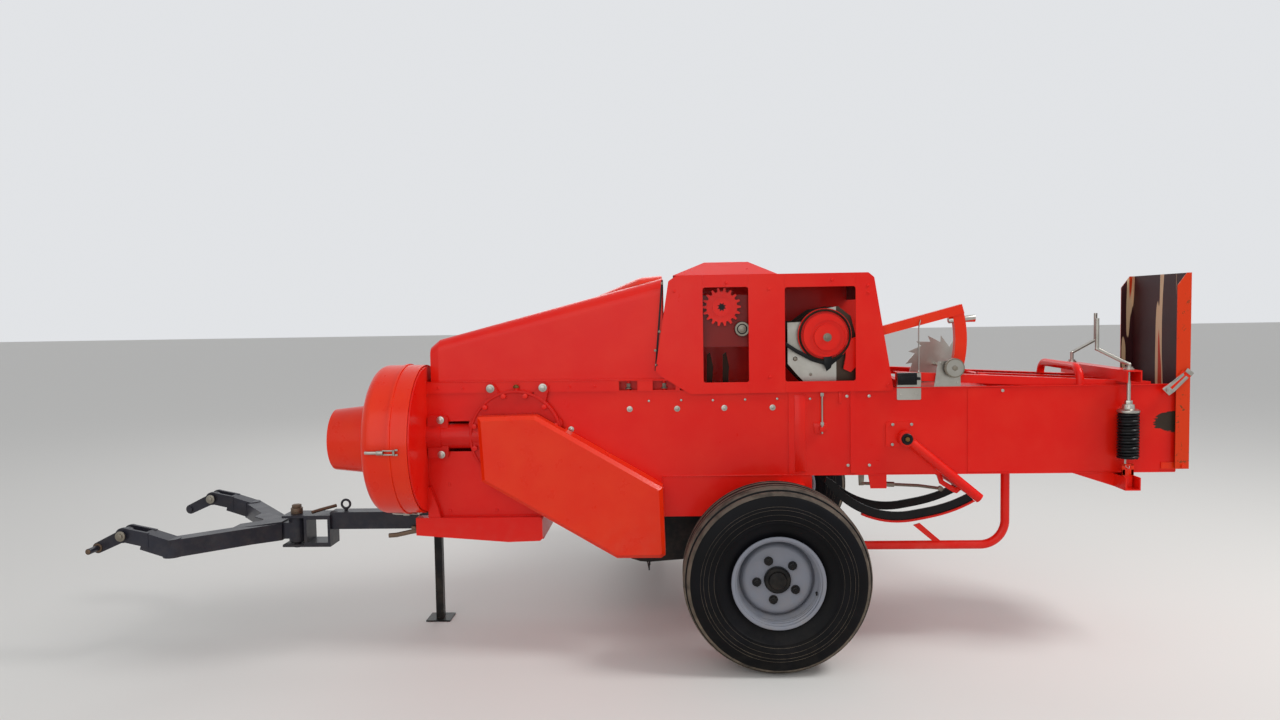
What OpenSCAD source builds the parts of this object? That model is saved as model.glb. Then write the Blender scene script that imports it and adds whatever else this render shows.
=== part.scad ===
/* [Bale chamber] */
// Outside width over the two chamber walls
chamber_w = 510; // [490:5:530]
// Thickness of the chamber plates
plate_t = 5; // [4:1:7]
// Height of the chamber floor's underside above ground
chamber_z0 = 860; // [850:5:870]
// Height of the chamber walls' top edge above ground
chamber_z1 = 1275; // [1265:5:1285]
// Front end of the chamber, measured back from the left axle
chamber_x0 = -1660; // [-1670:5:-1650]
// Rear end of the chamber, measured back from the left axle
chamber_x1 = 1915; // [1900:5:1930]

/* [Wheels] */
// Outside diameter of the tyres
tyre_d = 860; // [850:2:870]
// Width of the tyres
tyre_w = 290; // [280:2:300]
// Outside diameter of the rim flange
rim_d = 424; // [416:2:432]
// Gap between the left tyre and the chamber wall
wheel_gap = 70; // [68:1:80]
// Overall width over both tyres
overall_w = 2600; // [2590:5:2640]
// How far the right axle stands behind the left one
right_axle_x = 300; // [280:10:320]
// Radius of the wheel spindles
spindle_r = 26; // [22:1:30]
// Radial running clearance of shafts and spindles
run_gap = 0.06; // [0.03:0.01:0.1]

/* [Drive] */
// Sideways place of the input shaft
shaft_y = -235; // [-240:5:-230]
// Height of the input shaft
shaft_z = 1065; // [1060:5:1070]
// Radius of the flywheel guard
drum_r = 360; // [350:5:370]
// Front face of the flywheel guard
drum_x = -1892; // [-1900:2:-1884]
// How far the flywheel guard's middle lies below the input shaft
guard_drop = 10; // [6:1:12]
// Length of the shaft cone in front of the flywheel guard
cone_l = 222; // [214:2:230]
// Radius of the input shaft
shaft_r = 20; // [18:0.5:22]
// Radius of the splined stub at the shaft's front end
stub_r = 17.45; // [17:0.05:17.8]
// Radius of the gearbox flange
gear_r = 224; // [218:2:228]
// Place of the gearbox centre along the machine
gear_x = -1225; // [-1230:5:-1220]
// How far the drive guard stands out of the wall
guard_out = 130; // [124:2:136]

/* [Needles] */
// Place of the needle pivot along the machine
needle_x = 640; // [636:2:644]
// Height of the needle pivot
needle_z = 1035; // [1032:1:1038]
// Outer radius of the needle arc
needle_r = 431; // [425:1:435]
// Radial width of a needle
needle_w = 42; // [36:1:46]
// Distance between the two needles
needle_span = 240; // [230:5:250]
// Radius of the needle yoke's tubes
yoke_r = 23; // [20:1:24]

/* [Pickup] */
// Place of the pickup reel's axis along the machine
reel_x = -610; // [-615:5:-605]
// Height of the pickup reel's axis
reel_z = 525; // [520:5:530]
// Radius over the pickup tines
tine_r = 300; // [292:2:304]
// Radius of the stripper bands
band_r = 236; // [232:2:240]
// Left end of the pickup
pickup_y0 = 300; // [296:2:306]
// Right end of the pickup
pickup_y1 = 1620; // [1610:5:1630]
// Place of the pickup's lift pivot along the machine
lift_x = -200; // [-205:5:-195]
// Height of the pickup's lift pivot
lift_z = 812; // [808:2:814]
// Place of the gauge wheel's axis along the machine
gauge_x = -700; // [-705:5:-695]
// Height of the gauge wheel's axis
gauge_z = 420; // [415:5:425]
// Radius of the gauge wheel
gauge_r = 150; // [140:5:155]

/* [Metering] */
// Place of the metering shaft along the machine
meter_x = 869; // [865:2:873]
// Height of the metering shaft
meter_z = 1367; // [1365:1:1369]
// Radius over the star wheel's teeth
star_r = 147; // [143:2:149]
// Teeth of the star wheel
star_teeth = 14; // [12:1:16]

/* [Twine box] */
// Height of the twine box's rim
twine_z1 = 1640; // [1620:5:1650]

/* [Hitch] */
// Distance between the middles of the two hitch links
hitch_span = 850; // [840:5:860]
// Side of the drawbar's square tube
drawbar_a = 88; // [84:2:90]
// Height of the drawbar's axis
drawbar_z = 606; // [604:1:608]
// Place of the drawbar's rear pivot
drawbar_x = -1450; // [-1455:5:-1445]
// Place of the coupling pin between drawbar and fork
coupling_x = -2430; // [-2434:2:-2426]
// Place of the clevis bolts at the fork's ends
clevis_x = -3075; // [-3085:5:-3065]
// Height of the clevis bolts
clevis_z = 640; // [636:1:644]
// Distance of the hitch pin in front of its clevis bolt
pin_reach = 142; // [136:1:148]
// Distance of the hitch pin below its clevis bolt
link_drop = 66; // [60:1:70]
// Length of a hitch pin outside its link
pin_out = 75; // [70:1:80]
// Radius of a hitch pin
hitch_pin_r = 14; // [13:0.5:14.5]
// Thickness of a hitch link
link_t = 24; // [20:1:26]

/* [Chute] */
// Width of the bale chute
chute_w = 552; // [546:2:560]
// Length of the bale chute
chute_l = 924; // [900:4:940]
// Depth of the chute's side flanges
chute_d = 64; // [60:1:68]
// Place of the chute's pivot along the machine
chute_pivot_x = 1935; // [1933:1:1937]
// Height of the chute's pivot
chute_pivot_z = 888; // [886:1:892]

/* [Tension] */
// Place of the tension springs along the machine
spring_x = 1665; // [1655:5:1675]
// Radius over a tension spring
spring_r = 50; // [46:1:52]
// Turns of a tension spring
spring_turns = 16; // [14:1:18]

/* [Hidden] */
$fn = 48;

red = [0.84, 0.15, 0.11];
orange = [0.88, 0.23, 0.10];
slate = [0.23, 0.24, 0.28];
rim_grey = [0.62, 0.64, 0.67];
rubber = [0.07, 0.07, 0.08];
zinc = [0.78, 0.77, 0.75];
black = [0.09, 0.09, 0.10];
brown = [0.30, 0.17, 0.16];

half_w = chamber_w / 2;
inner_w = half_w - plate_t;
axle_z = tyre_d / 2;
left_tyre_y = -half_w - wheel_gap - tyre_w / 2;
right_tyre_y = left_tyre_y + overall_w - tyre_w;
front_x = clevis_x - pin_reach - hitch_pin_r - 12;
chute_x = chamber_x1 + 50;
chute_z0 = chamber_z0 + 14;
mid_x = (front_x + chute_x) / 2;
mid_y = left_tyre_y - tyre_w / 2 + overall_w / 2;
needle_y = needle_span / 2;
panel_y = half_w + 9;
panel_t = 5;
body_z0 = 672;
beam_z1 = 1330;
seat = 0.3;

// Moves a piece from the working origin, under the left axle, to the middle of the footprint
module place() translate([-mid_x, -mid_y, 0]) children();

// A box given by its two corners
module box(a, b) translate(a) cube([b[0] - a[0], b[1] - a[1], b[2] - a[2]]);

// A plate whose outline lies in the side view, from y0 to y1
module side_plate(y0, y1) translate([0, y1, 0]) rotate([90, 0, 0]) linear_extrude(y1 - y0) children();

// A round bar along Y, from y0 to y1
module bar_y(x, z, r, y0, y1) translate([x, y0, z]) rotate([-90, 0, 0]) cylinder(r = r, h = y1 - y0);

// A round bar along X, from x0 to x1
module bar_x(y, z, r, x0, x1) translate([x0, y, z]) rotate([0, 90, 0]) cylinder(r = r, h = x1 - x0);

// A round bar between two points
module rod(a, b, r) {
  d = b - a;
  l = norm(d);
  translate(a) rotate([0, acos(d[2] / l), atan2(d[1], d[0])]) cylinder(r = r, h = l);
}

// A rectangle with its corners rounded to radius r
module rounded(w, h, r) translate([r, r]) {
  translate([-r, 0]) square([w, h - 2 * r]);
  translate([0, -r]) square([w - 2 * r, h]);
  for (x = [0, w - 2 * r], y = [0, h - 2 * r]) translate([x, y]) circle(r = r);
}

// Points on an arc about a centre, from angle a0 to a1
function arc(cx, cy, r, a0, a1, n) =
  [for (i = [0 : n]) [cx + r * cos(a0 + (a1 - a0) * i / n), cy + r * sin(a0 + (a1 - a0) * i / n)]];

// A convex outline, given clockwise, with each side moved inwards by d
function side_in(a, b, d) = let (u = (b - a) / norm(b - a)) [a + d * [u[1], -u[0]], u];
function meet(p, q) = p[0] + p[1] * (((q[0] - p[0])[0] * q[1][1] - (q[0] - p[0])[1] * q[1][0])
  / (p[1][0] * q[1][1] - p[1][1] * q[1][0]));
function inset(o, d) = let (n = len(o))
  [for (i = [0 : n - 1]) meet(side_in(o[(i + n - 1) % n], o[i], d), side_in(o[i], o[(i + 1) % n], d))];

// Ribs pressed into the walls: place, width and height out of the wall
RIBS = [[90, 58, 4], [384, 26, 6], [940, 200, 3]];
rib_x = 0;
rib_w = 1;
rib_h = 2;

// One chamber wall with its ribs; side is -1 for left and 1 for right
module wall(side) {
  y0 = side < 0 ? -half_w : inner_w;
  side_plate(y0, y0 + plate_t) translate([chamber_x0, chamber_z0])
    square([chamber_x1 - chamber_x0, chamber_z1 - chamber_z0]);
  for (r = RIBS) {
    y1 = side < 0 ? -half_w - r[rib_h] : half_w;
    box([r[rib_x], y1, chamber_z0 + 6], [r[rib_x] + r[rib_w], y1 + r[rib_h], chamber_z1 - 6]);
  }
}

module left_wall() color(red) place() difference() {
  wall(-1);
  bar_y(gear_x, shaft_z, gear_r - 31, -half_w - 20, 0);
  box([chamber_x0 - 1, -half_w - 20, shaft_z - housing_r - 13], [gear_x, 0, shaft_z + housing_r + 13]);
}

module right_wall() color(red) place() difference() {
  wall(1);
  box([-420, 0, chamber_z0 + 20], [60, half_w + 20, chamber_z1 - 40]);
}

// Floor plate with the two slots that the needles rise through
module chamber_floor() difference() {
  box([chamber_x0, -inner_w, chamber_z0], [chamber_x1, inner_w, chamber_z0 + plate_t]);
  for (s = [-1, 1]) box([150, s * needle_y - 16, chamber_z0 - 5], [420, s * needle_y + 16, chamber_z0 + 20]);
}

// Top plate over the knotter end, with needle slots and the slot of the star wheel
module chamber_top() difference() {
  box([-520, -inner_w, chamber_z1 - plate_t], [1040, inner_w, chamber_z1]);
  for (s = [-1, 1]) box([150, s * needle_y - 16, chamber_z1 - 20], [560, s * needle_y + 16, chamber_z1 + 20]);
  box([meter_x - star_r, 25, chamber_z1 - 20], [meter_x + star_r, 95, chamber_z1 + 20]);
}

module chamber_plates() color(red) place() {
  chamber_floor();
  chamber_top();
}

// Lower front sheets, their front gussets and the floor over the drawbar
module front_body() color(red) place() {
  for (s = [-1, 1]) {
    y = s < 0 ? -half_w : inner_w;
    side_plate(y, y + plate_t) translate([chamber_x0, body_z0]) square([-520 - chamber_x0, chamber_z0 - body_z0]);
    g = s < 0 ? -half_w - 34 : half_w;
    side_plate(g, g + 34) polygon([[chamber_x0, body_z0], [-1600, body_z0], [-1612, 720], [-1648, 820], [chamber_x0, 820]]);
  }
  box([chamber_x0, -inner_w, body_z0], [-520, inner_w, body_z0 + plate_t]);
  jack_sleeve();
}

// Outline of the pan's side boxes, and their hollow
PAN = [[-1721, 587], [-1270, 551], [-1116, 556], [-1104, 568], [-1104, 660], [-1116, body_z0], [-1721, body_z0]];
PAN_HOLLOW = [[-1800, 598], [-1270, 557], [-1118, 562], [-1110, 570], [-1110, 658], [-1118, 666], [-1800, 666]];

pivot_z0 = 551;
pivot_r = 20;

// Side boxes and rear cross box that the drawbar swings between, with its pivot lugs and pin
module bottom_pan() color(red) place() {
  for (s = [-1, 1]) {
    y = s < 0 ? -half_w - 38 : half_w - 22;
    side_plate(y, y + 60) difference() {
      polygon(PAN);
      polygon(PAN_HOLLOW);
    }
    skin = s < 0 ? y : y + 55;
    side_plate(skin, skin + 5) polygon(PAN);
  }
  box([-1300, -half_w + 22, pivot_z0], [-1107, half_w - 22, body_z0]);
  translate([0, 0, pivot_z0]) linear_extrude(drawbar_z - drawbar_a / 2 - seat - pivot_z0)
    polygon([[-1520, -60], [-1520, 60], [-1290, 110], [-1290, -110]]);
  translate([drawbar_x, 0, pivot_z0]) cylinder(r = pivot_r, h = body_z0 - pivot_z0);
}

// Plate across the front that carries the flywheel guard
module front_bulkhead() color(red) place() difference() {
  translate([chamber_x0 - 8, 0, 0]) rotate([90, 0, 90]) linear_extrude(8) {
    translate([shaft_y, shaft_z - guard_drop]) circle(r = drum_r - 8);
    translate([-half_w, body_z0]) square([chamber_w, beam_z1 - body_z0]);
  }
  bar_x(shaft_y, shaft_z, 58, chamber_x0 - 20, chamber_x0 + 20);
}

// Windows in the outer web of the top beams: front and rear edge
BEAM_WINDOWS = [[-722, -634], [-560, -450]];
beam_end = -430;
beam_w = 50;

// Top beams, open below, with two windows in the outer web and a clamp stud in each
module top_beams() color(red) place() for (s = [-1, 1]) {
  y = s < 0 ? -half_w - 8 : half_w - 42;
  web = s < 0 ? y - 1 : y + beam_w - 5;
  difference() {
    box([chamber_x0, y, chamber_z1], [beam_end, y + beam_w, beam_z1]);
    box([chamber_x0 + 6, y + 4, chamber_z1 - 1], [beam_end - 6, y + beam_w - 4, beam_z1 - 4]);
    for (w = BEAM_WINDOWS) box([w[0], web, chamber_z1 + 4], [w[1], web + 6, beam_z1 - 6]);
  }
  for (w = BEAM_WINDOWS) translate([(w[0] + w[1]) / 2, y + beam_w / 2, chamber_z1]) cylinder(r = 7, h = beam_z1 - chamber_z1 - 3);
}

axle_x0 = 40;
axle_x1 = 160;
axle_z0 = 700;
axle_z1 = 820;

// Sill plates either side of the cross beam, and the square tab behind the needles' rod
module under_frame() color(red) place() {
  difference() {
    union() {
      for (y = [-half_w, inner_w]) box([-519, y, 662], [200, y + plate_t, chamber_z0]);
      box([-519, -inner_w, 662], [-40, inner_w, 668]);
    }
    box([axle_x0 - seat, -400, axle_z0 - seat], [axle_x1 + seat, 400, axle_z1 + seat]);
  }
  side_plate(-half_w, -half_w + 6) polygon([[480, 790], [556, 790], [556, chamber_z0], [468, chamber_z0]]);
  needle_pivots();
}

// Cross beam, drop legs and spindles that carry the two wheels
module axle() color(red) place() {
  left_in = -half_w - 30;
  right_in = right_tyre_y - tyre_w / 2 - 34;
  box([axle_x0, left_in, axle_z0], [axle_x1, right_in, axle_z1]);
  side_plate(left_in - 30, left_in) polygon([[-60, 350], [60, 350], [axle_x1, axle_z0], [axle_x1, axle_z1], [axle_x0, axle_z1]]);
  side_plate(right_in, right_in + 26) polygon([[right_axle_x - 60, 360], [right_axle_x + 60, 360],
    [right_axle_x + 60, 480], [axle_x1, axle_z1], [axle_x0, axle_z1], [axle_x0, axle_z0]]);
  bar_y(0, axle_z, spindle_r, left_tyre_y - 60, left_in - 30);
  bar_y(0, axle_z, 45, left_in - 60, left_in - 30);
  bar_y(right_axle_x, axle_z, spindle_r, right_in + 26, right_tyre_y + 60);
  bar_y(right_axle_x, axle_z, 45, right_in + 26, right_in + 56);
}

// Where the input housing meets the gearbox neck
neck_x = gear_x - gear_r - 2;

// Bearing housing of the input shaft, with its two-bolt plate
housing_r = 61;
module input_housing() difference() {
  union() {
    bar_x(shaft_y, shaft_z, housing_r, chamber_x0, neck_x);
    bar_x(shaft_y, shaft_z, housing_r + 6, chamber_x0, chamber_x0 + 70);
    side_plate(-half_w - 22, -half_w - seat) translate([chamber_x0 + 4, shaft_z - 104]) rounded(100, 208, 18);
    for (z = [shaft_z - 84, shaft_z + 84]) bar_y(chamber_x0 + 72, z, 13, -half_w - 31, -half_w - 22);
  }
  bar_x(shaft_y, shaft_z, shaft_r + run_gap, chamber_x0 - 30, neck_x + 1);
}

// Places of the two lugs that hang the gearbox on the top beam, and the bolts round its flange
LUG_X = [gear_x - 117, gear_x + 138];
flange_bolts = 12;
bolt_ring = gear_r - 21;

// Gearbox with its bolted flange, two top lugs, side ears, filler cap, input neck and output boss
module gearbox() color(red) place() {
  input_housing();
  bar_y(gear_x, shaft_z, gear_r - 32, -half_w - 8, 60);
  bar_y(gear_x, shaft_z, gear_r, -half_w - 35, -half_w - 8 - seat);
  bar_x(shaft_y, shaft_z, housing_r, neck_x, gear_x);
  for (x = LUG_X) side_plate(-half_w - 35, -half_w - 8 - seat) hull() {
    translate([x, shaft_z + 232]) circle(r = 26);
    translate([gear_x + 0.7 * (x - gear_x), shaft_z + 130]) circle(r = 40);
  }
  for (s = [-1, 1]) side_plate(-half_w - 30, -half_w - 12) hull() {
    translate([gear_x + s * 205, shaft_z + 62]) circle(r = 22);
    translate([gear_x + s * 150, shaft_z + 40]) circle(r = 60);
  }
  for (i = [0 : flange_bolts - 1]) {
    a = (i + 0.5) * 360 / flange_bolts;
    bar_y(gear_x + bolt_ring * cos(a), shaft_z + bolt_ring * sin(a), 13, -half_w - 43, -half_w - 35);
  }
  translate([gear_x + 6, -half_w - 22, shaft_z + gear_r - 8]) cylinder(r = 12, h = 18);
  bar_y(gear_x, shaft_z, 40, -half_w - 90, -half_w - 35);
}

// Outline of the drive guard in the side view
GUARD = [[-1392, 1170], [-1115, 1175], [-518, 825], [-509, 503], [-530, 489], [-739, 489], [-1377, 863]];
guard_t = 4;
guard_bevel = 18;

// Solid form of the drive guard between two insets: a flat face with a bevelled edge all round
module guard_form(y0, d) hull() {
  side_plate(y0, y0 + 1) polygon(inset(GUARD, d + guard_bevel));
  side_plate(y0 + guard_bevel, -half_w - seat + d) polygon(inset(GUARD, d));
}

module drive_guard() color(orange) place() {
  y0 = -half_w - guard_out;
  difference() {
    guard_form(y0, 0);
    guard_form(y0 + guard_t, guard_t);
    bar_y(gear_x, shaft_z, gear_r + 2, -half_w - 45, 0);
    bar_x(shaft_y, shaft_z, housing_r + 3, neck_x - 20, gear_x);
    for (x = LUG_X) box([x - 48, -half_w - 37, shaft_z], [x + 48, 0, 1400]);
    for (s = [-1, 1]) box([gear_x + s * 200 - 40, -half_w - 37, shaft_z - 30], [gear_x + s * 200 + 40, 0, 1400]);
  }
}

cone_r = 148;

// Shell of the flywheel guard: flared shaft cone, rounded front edge, drum and seam ring
module flywheel_guard() color(orange) place() translate([drum_x, shaft_y, shaft_z - guard_drop]) rotate([0, 90, 0]) {
  l = chamber_x0 - 8 - drum_x;
  rotate_extrude($fn = 96) polygon(concat(
    [[cone_r, -cone_l], [cone_r + 24, 0]],
    arc(drum_r - 50, 50, 50, -90, 0, 8),
    [[drum_r, l - 92], [drum_r + 6, l - 90], [drum_r + 6, l - 78], [drum_r, l - 76], [drum_r, l], [drum_r - 6, l],
     [drum_r - 6, 56], [drum_r - 52, 6], [cone_r + 18, 6], [cone_r - 6, -cone_l]]));
}

// Turns something about the input shaft
module about_shaft(a) translate([0, shaft_y, shaft_z]) rotate([a, 0, 0]) translate([0, -shaft_y, -shaft_z]) children();

stub_x = -1960;
stub_l = 100;
wheel_x = -1815;

// Input shaft with its splined stub, and the flywheel with six lightening holes
module flywheel() color(slate) place() {
  bar_x(shaft_y, shaft_z, stub_r, stub_x - stub_l, stub_x);
  bar_x(shaft_y, shaft_z, shaft_r, stub_x, neck_x - 1);
  bar_x(shaft_y, shaft_z, 60, drum_x + 42, chamber_x0 - 30);
  difference() {
    bar_x(shaft_y, shaft_z, drum_r - 37, wheel_x, wheel_x + 60);
    bar_x(shaft_y, shaft_z, drum_r - 92, wheel_x - 15, wheel_x + 15);
    for (a = [0 : 60 : 300]) about_shaft(a) bar_x(shaft_y, shaft_z + 160, 45, wheel_x - 15, wheel_x + 75);
  }
}

// Sections of the front hood: place, half width, top height and corner radius
HOOD = [[-1640, 248, 1500, 40], [-1600, 254, 1535, 55], [-512, 256, 1815, 75]];
module hood_slice(s, inset) translate([s[0], 0, -inset]) rotate([90, 0, 90]) linear_extrude(4)
  translate([-s[1] + inset, beam_z1 + seat]) {
    square([2 * (s[1] - inset), 30]);
    rounded(2 * (s[1] - inset), s[2] - beam_z1, s[3]);
  }
module front_hood() color(red) place() difference() {
  hull() for (s = HOOD) hood_slice(s, 0);
  hull() {
    for (s = HOOD) translate([6, 0, 0]) hood_slice(s, 5);
    for (s = HOOD) translate([6, 0, -60]) hood_slice(s, 5);
  }
}
module hood_hump() color(orange) place() difference() {
  hull() {
    translate([-920, 0, 1640]) sphere(r = 60, $fn = 32);
    for (s = [-1, 1]) translate([-600, s * 110, 1735]) sphere(r = 90, $fn = 32);
    for (s = [-1, 1]) translate([-520, s * 110, 1740]) rotate([0, 90, 0]) cylinder(r = 92, h = 8, $fn = 32);
  }
  hull() for (s = HOOD) hood_slice(s, -1);
}

// Outline of a knotter side panel, and its windows as left edge, width and height
KNOT_SIDE = [[-378, 1257], [-520, 1345], [-546, 1372], [-478, 1800], [-440, 1826], [470, 1826], [497, 1803], [588, 1262]];
WINDOWS = [[-315, 217, 455], [75, 334, 450]];
panel_r = 12;
module knotter_outline() hull() for (p = inset(KNOT_SIDE, panel_r)) translate(p) circle(r = panel_r);
window_z0 = 1312;
window_r = 12;

// Left panel with its windows, in parts that meet at hairline seams in line with the window edges
module window_panel() {
  seams = concat([-600], [for (w = WINDOWS, k = [0, 1]) w[0] + k * w[1]], [700]);
  for (i = [0 : len(seams) - 2]) intersection() {
    difference() {
      knotter_outline();
      for (w = WINDOWS) translate([w[0], window_z0]) rounded(w[1], w[2], window_r);
    }
    translate([seams[i] + seat / 2, 1200]) square([seams[i + 1] - seams[i] - seat, 700]);
  }
}
module knotter_sides() {
  side_plate(-panel_y - panel_t, -panel_y) window_panel();
  side_plate(panel_y, panel_y + panel_t) knotter_outline();
}

// Roof between the panels, with the raised cap and the rear cross plate
module knotter_roof() {
  w = panel_y - seat;
  box([-438, -w, 1820], [470, w, 1826]);
  hull() {
    translate([-456, -230, 1826]) cube([500, 460, 2]);
    translate([-300, -90, 1892]) cube([215, 180, 2]);
  }
  box([464, -w, 1700], [470, w, 1820]);
}

module knotter_housing() color(red) place() {
  knotter_sides();
  knotter_roof();
}

// Knotter plates on the chamber top, with the shaft that crosses them
knot_x = 270;
knot_z = 1530;
KNOT_PLATE = [[200, chamber_z1], [440, chamber_z1], [452, 1420], [400, 1620], [340, 1668], [240, 1650], [160, 1594],
  [96, 1592], [96, 1392], [140, 1340]];
module knotter_frame() color(zinc) place() {
  for (y = [-190, 0, 185]) side_plate(y, y + 8) polygon(KNOT_PLATE);
  bar_y(knot_x, knot_z, 22, -212, -190);
  bar_y(knot_x, knot_z, 22, -182, 0);
  bar_y(knot_x, knot_z, 22, 8, 185);
  for (y = [-96, 96]) knotter(y);
  for (x = [-284, -206]) side_plate(-150, -142) polygon([[x - 13, chamber_z1], [x + 13, chamber_z1], [x + 20, 1380],
    [x + 6, 1452], [x - 10, 1440]]);
}

// One knotter: cam disc on the cross shaft, bill hook frame below it and its foot on the chamber
module knotter(y) {
  bar_y(knot_x, knot_z, 98, y - 9, y + 9);
  bar_y(knot_x, knot_z, 40, y - 34, y + 34);
  side_plate(y - 12, y + 12) polygon([[300, chamber_z1], [392, chamber_z1], [384, 1330], [352, 1400], [338, 1470],
    [296, 1470], [310, 1390]]);
}

// A disc along Y with flat-topped teeth, between the radii r0 and r1
module toothed(x, z, r0, r1, n, y0, y1) side_plate(y0, y1) translate([x, z])
  polygon([for (i = [0 : n - 1], k = [[-0.3, r0], [-0.14, r1], [0.14, r1], [0.3, r0]])
    k[1] * [cos((i + k[0]) * 360 / n), sin((i + k[0]) * 360 / n)]]);

// Drive drum and chain sprocket of the knotter shaft, and the gear and bearing behind the small window
gear_hub = [-223, 1673];
bearing = [-127, 1566];
chain_r = 120;
chain_pins = 34;
module knotter_drive() color(orange) place() {
  difference() {
    bar_y(knot_x, knot_z, chain_r + 9, -222, -212);
    bar_y(knot_x, knot_z, chain_r - 9, -223, -219);
  }
  for (i = [0 : chain_pins - 1]) {
    a = i * 360 / chain_pins;
    translate([knot_x + chain_r * cos(a), -212, knot_z + chain_r * sin(a)]) rotate([90, 0, 0]) cylinder(r = 4, h = 16, $fn = 16);
  }
  difference() {
    bar_y(knot_x, knot_z, 104, -240, -219);
    bar_y(knot_x + 12, knot_z - 12, 84, -241, -234);
  }
  bar_y(knot_x + 8, knot_z - 10, 62, -250, -230);
  bar_y(knot_x + 8, knot_z - 10, 14, -252, -250);
  side_plate(-228, -214) polygon([[knot_x + 96, 1500], [442, 1528], [442, 1400], [392, 1350], [358, 1366], [370, 1430]]);
  toothed(gear_hub[0], gear_hub[1], 74, 92, 18, -232, -206);
  bar_y(gear_hub[0], gear_hub[1], 44, -238, -232);
  bar_y(gear_hub[0], gear_hub[1], 20, -206, panel_y);
  bar_y(bearing[0], bearing[1], 36, -235, -205);
  bar_y(bearing[0], bearing[1], 14, -244, -235);
  side_plate(-205, -199) translate([-340, 1480]) square([280, 250]);
}

plunger_x0 = -1000;
plunger_x1 = -620;

// Plunger frame: slotted face, two sides, back bar and cross web
module plunger() color(red) place() difference() {
  union() {
    box([plunger_x1 - 14, -inner_w + 8, chamber_z0 + 14], [plunger_x1, inner_w - 8, chamber_z1 - 14]);
    for (s = [-1, 1]) box([plunger_x0, s * (inner_w - 14) - 6, chamber_z0 + 14], [plunger_x1 - 14, s * (inner_w - 14) + 6, chamber_z1 - 14]);
    box([plunger_x0, -inner_w + 20, 1020], [plunger_x0 + 60, inner_w - 20, 1110]);
    box([-820, -inner_w + 20, chamber_z0 + 14], [-808, inner_w - 20, chamber_z1 - 14]);
    for (s = [-1, 1]) box([plunger_x0 + 20, s * (inner_w - 34) - 18, chamber_z0 + plate_t + seat], [plunger_x1 - 20, s * (inner_w - 34) + 18, chamber_z0 + 14]);
  }
  for (s = [-1, 1]) box([plunger_x1 - 20, s * needle_y - 18, 0], [plunger_x1 + 5, s * needle_y + 18, chamber_z1 - 60]);
}

// Lug outline about the pickup's lift pivot
module lift_lug() difference() {
  hull() {
    translate([lift_x, lift_z]) circle(r = 36, $fn = 32);
    translate([lift_x - 50, chamber_z0 - 4]) square([100, 4]);
  }
  translate([lift_x, lift_z]) circle(r = 22 + run_gap);
}

// Table, rear wall and end plate of the feed chamber, with the pickup's lift lugs below it
module feed_table() {
  box([-400, half_w, chamber_z0], [30, pickup_y1, chamber_z0 + 4]);
  box([24, half_w, chamber_z0 + 4], [30, pickup_y1, 1250]);
  side_plate(pickup_y1 - 4, pickup_y1) polygon([[-400, chamber_z0 + 4], [24, chamber_z0 + 4], [24, 1250], [-250, 1250],
    [-500, 1225], [-500, 1160], [-440, 1100]]);
  for (y = [270, pickup_y1 + 6]) side_plate(y, y + 8) lift_lug();
  box([-250, pickup_y1 - 40, chamber_z0 - 4], [-150, pickup_y1 + 14, chamber_z0]);
}

// Feeder beam over the table, with the rows of packer tines that hang from it
module feeder_beam() {
  box([-250, panel_y + panel_t + seat, 1250], [30, pickup_y1, 1400]);
  for (y = [420, 760, 1100, 1440], x = [-150, -90]) box([x, y, 920], [x + 10, y + 30, 1250]);
}

module feed_chamber() color(red) place() {
  feed_table();
  feeder_beam();
}

// Cross bar and curved hold-down bars over the pickup
module wind_guard() color(black) place() {
  bar_y(-470, 1192, 15, half_w, pickup_y1 - 4);
  for (i = [0 : 9]) side_plate(340 + i * 132, 350 + i * 132) polygon(concat(
    arc(-470, 792, 400, 90, 168, 12), arc(-470, 792, 390, 168, 90, 12)));
}

twine_y0 = panel_y + panel_t + seat;
twine_x0 = -400;
twine_x1 = 360;
twine_w = 310;
lid_y = twine_y0 + 12;
lid_z = twine_z1 + 7;
knuckle_r = 6;
lid_pin_r = 4;
lid_lugs = [-340, -20, 300];

module twine_box() color(red) place() {
  y = twine_y0 + 8;
  difference() {
    box([twine_x0, y, 1400], [twine_x1, y + twine_w, twine_z1]);
    box([twine_x0 + 4, y + 4, 1404], [twine_x1 - 4, y + twine_w - 4, twine_z1 + 50]);
  }
  for (x = lid_lugs) {
    box([x - 18, y, twine_z1 - 10], [x + 18, lid_y, lid_z]);
    bar_x(lid_y, lid_z, knuckle_r, x - 18, x + 18);
  }
  bar_x(lid_y, lid_z, lid_pin_r, twine_x0 + 20, twine_x1 - 20);
}

// Lid of the twine box, with its hinge knuckles along the inner edge
module twine_lid() color(red) place() difference() {
  union() {
    box([twine_x0 - 4, lid_y, twine_z1 + seat], [twine_x1 + 4, lid_y + twine_w, twine_z1 + 4]);
    bar_x(lid_y, lid_z, knuckle_r, twine_x0 + 16, twine_x1 - 16);
  }
  for (x = lid_lugs) box([x - 23, lid_y - 20, twine_z1 - 20], [x + 23, lid_y + 14, twine_z1 + 40]);
  bar_x(lid_y, lid_z, lid_pin_r + run_gap, twine_x0, twine_x1);
}

band_pitch = 104;
bands = 12;

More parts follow.
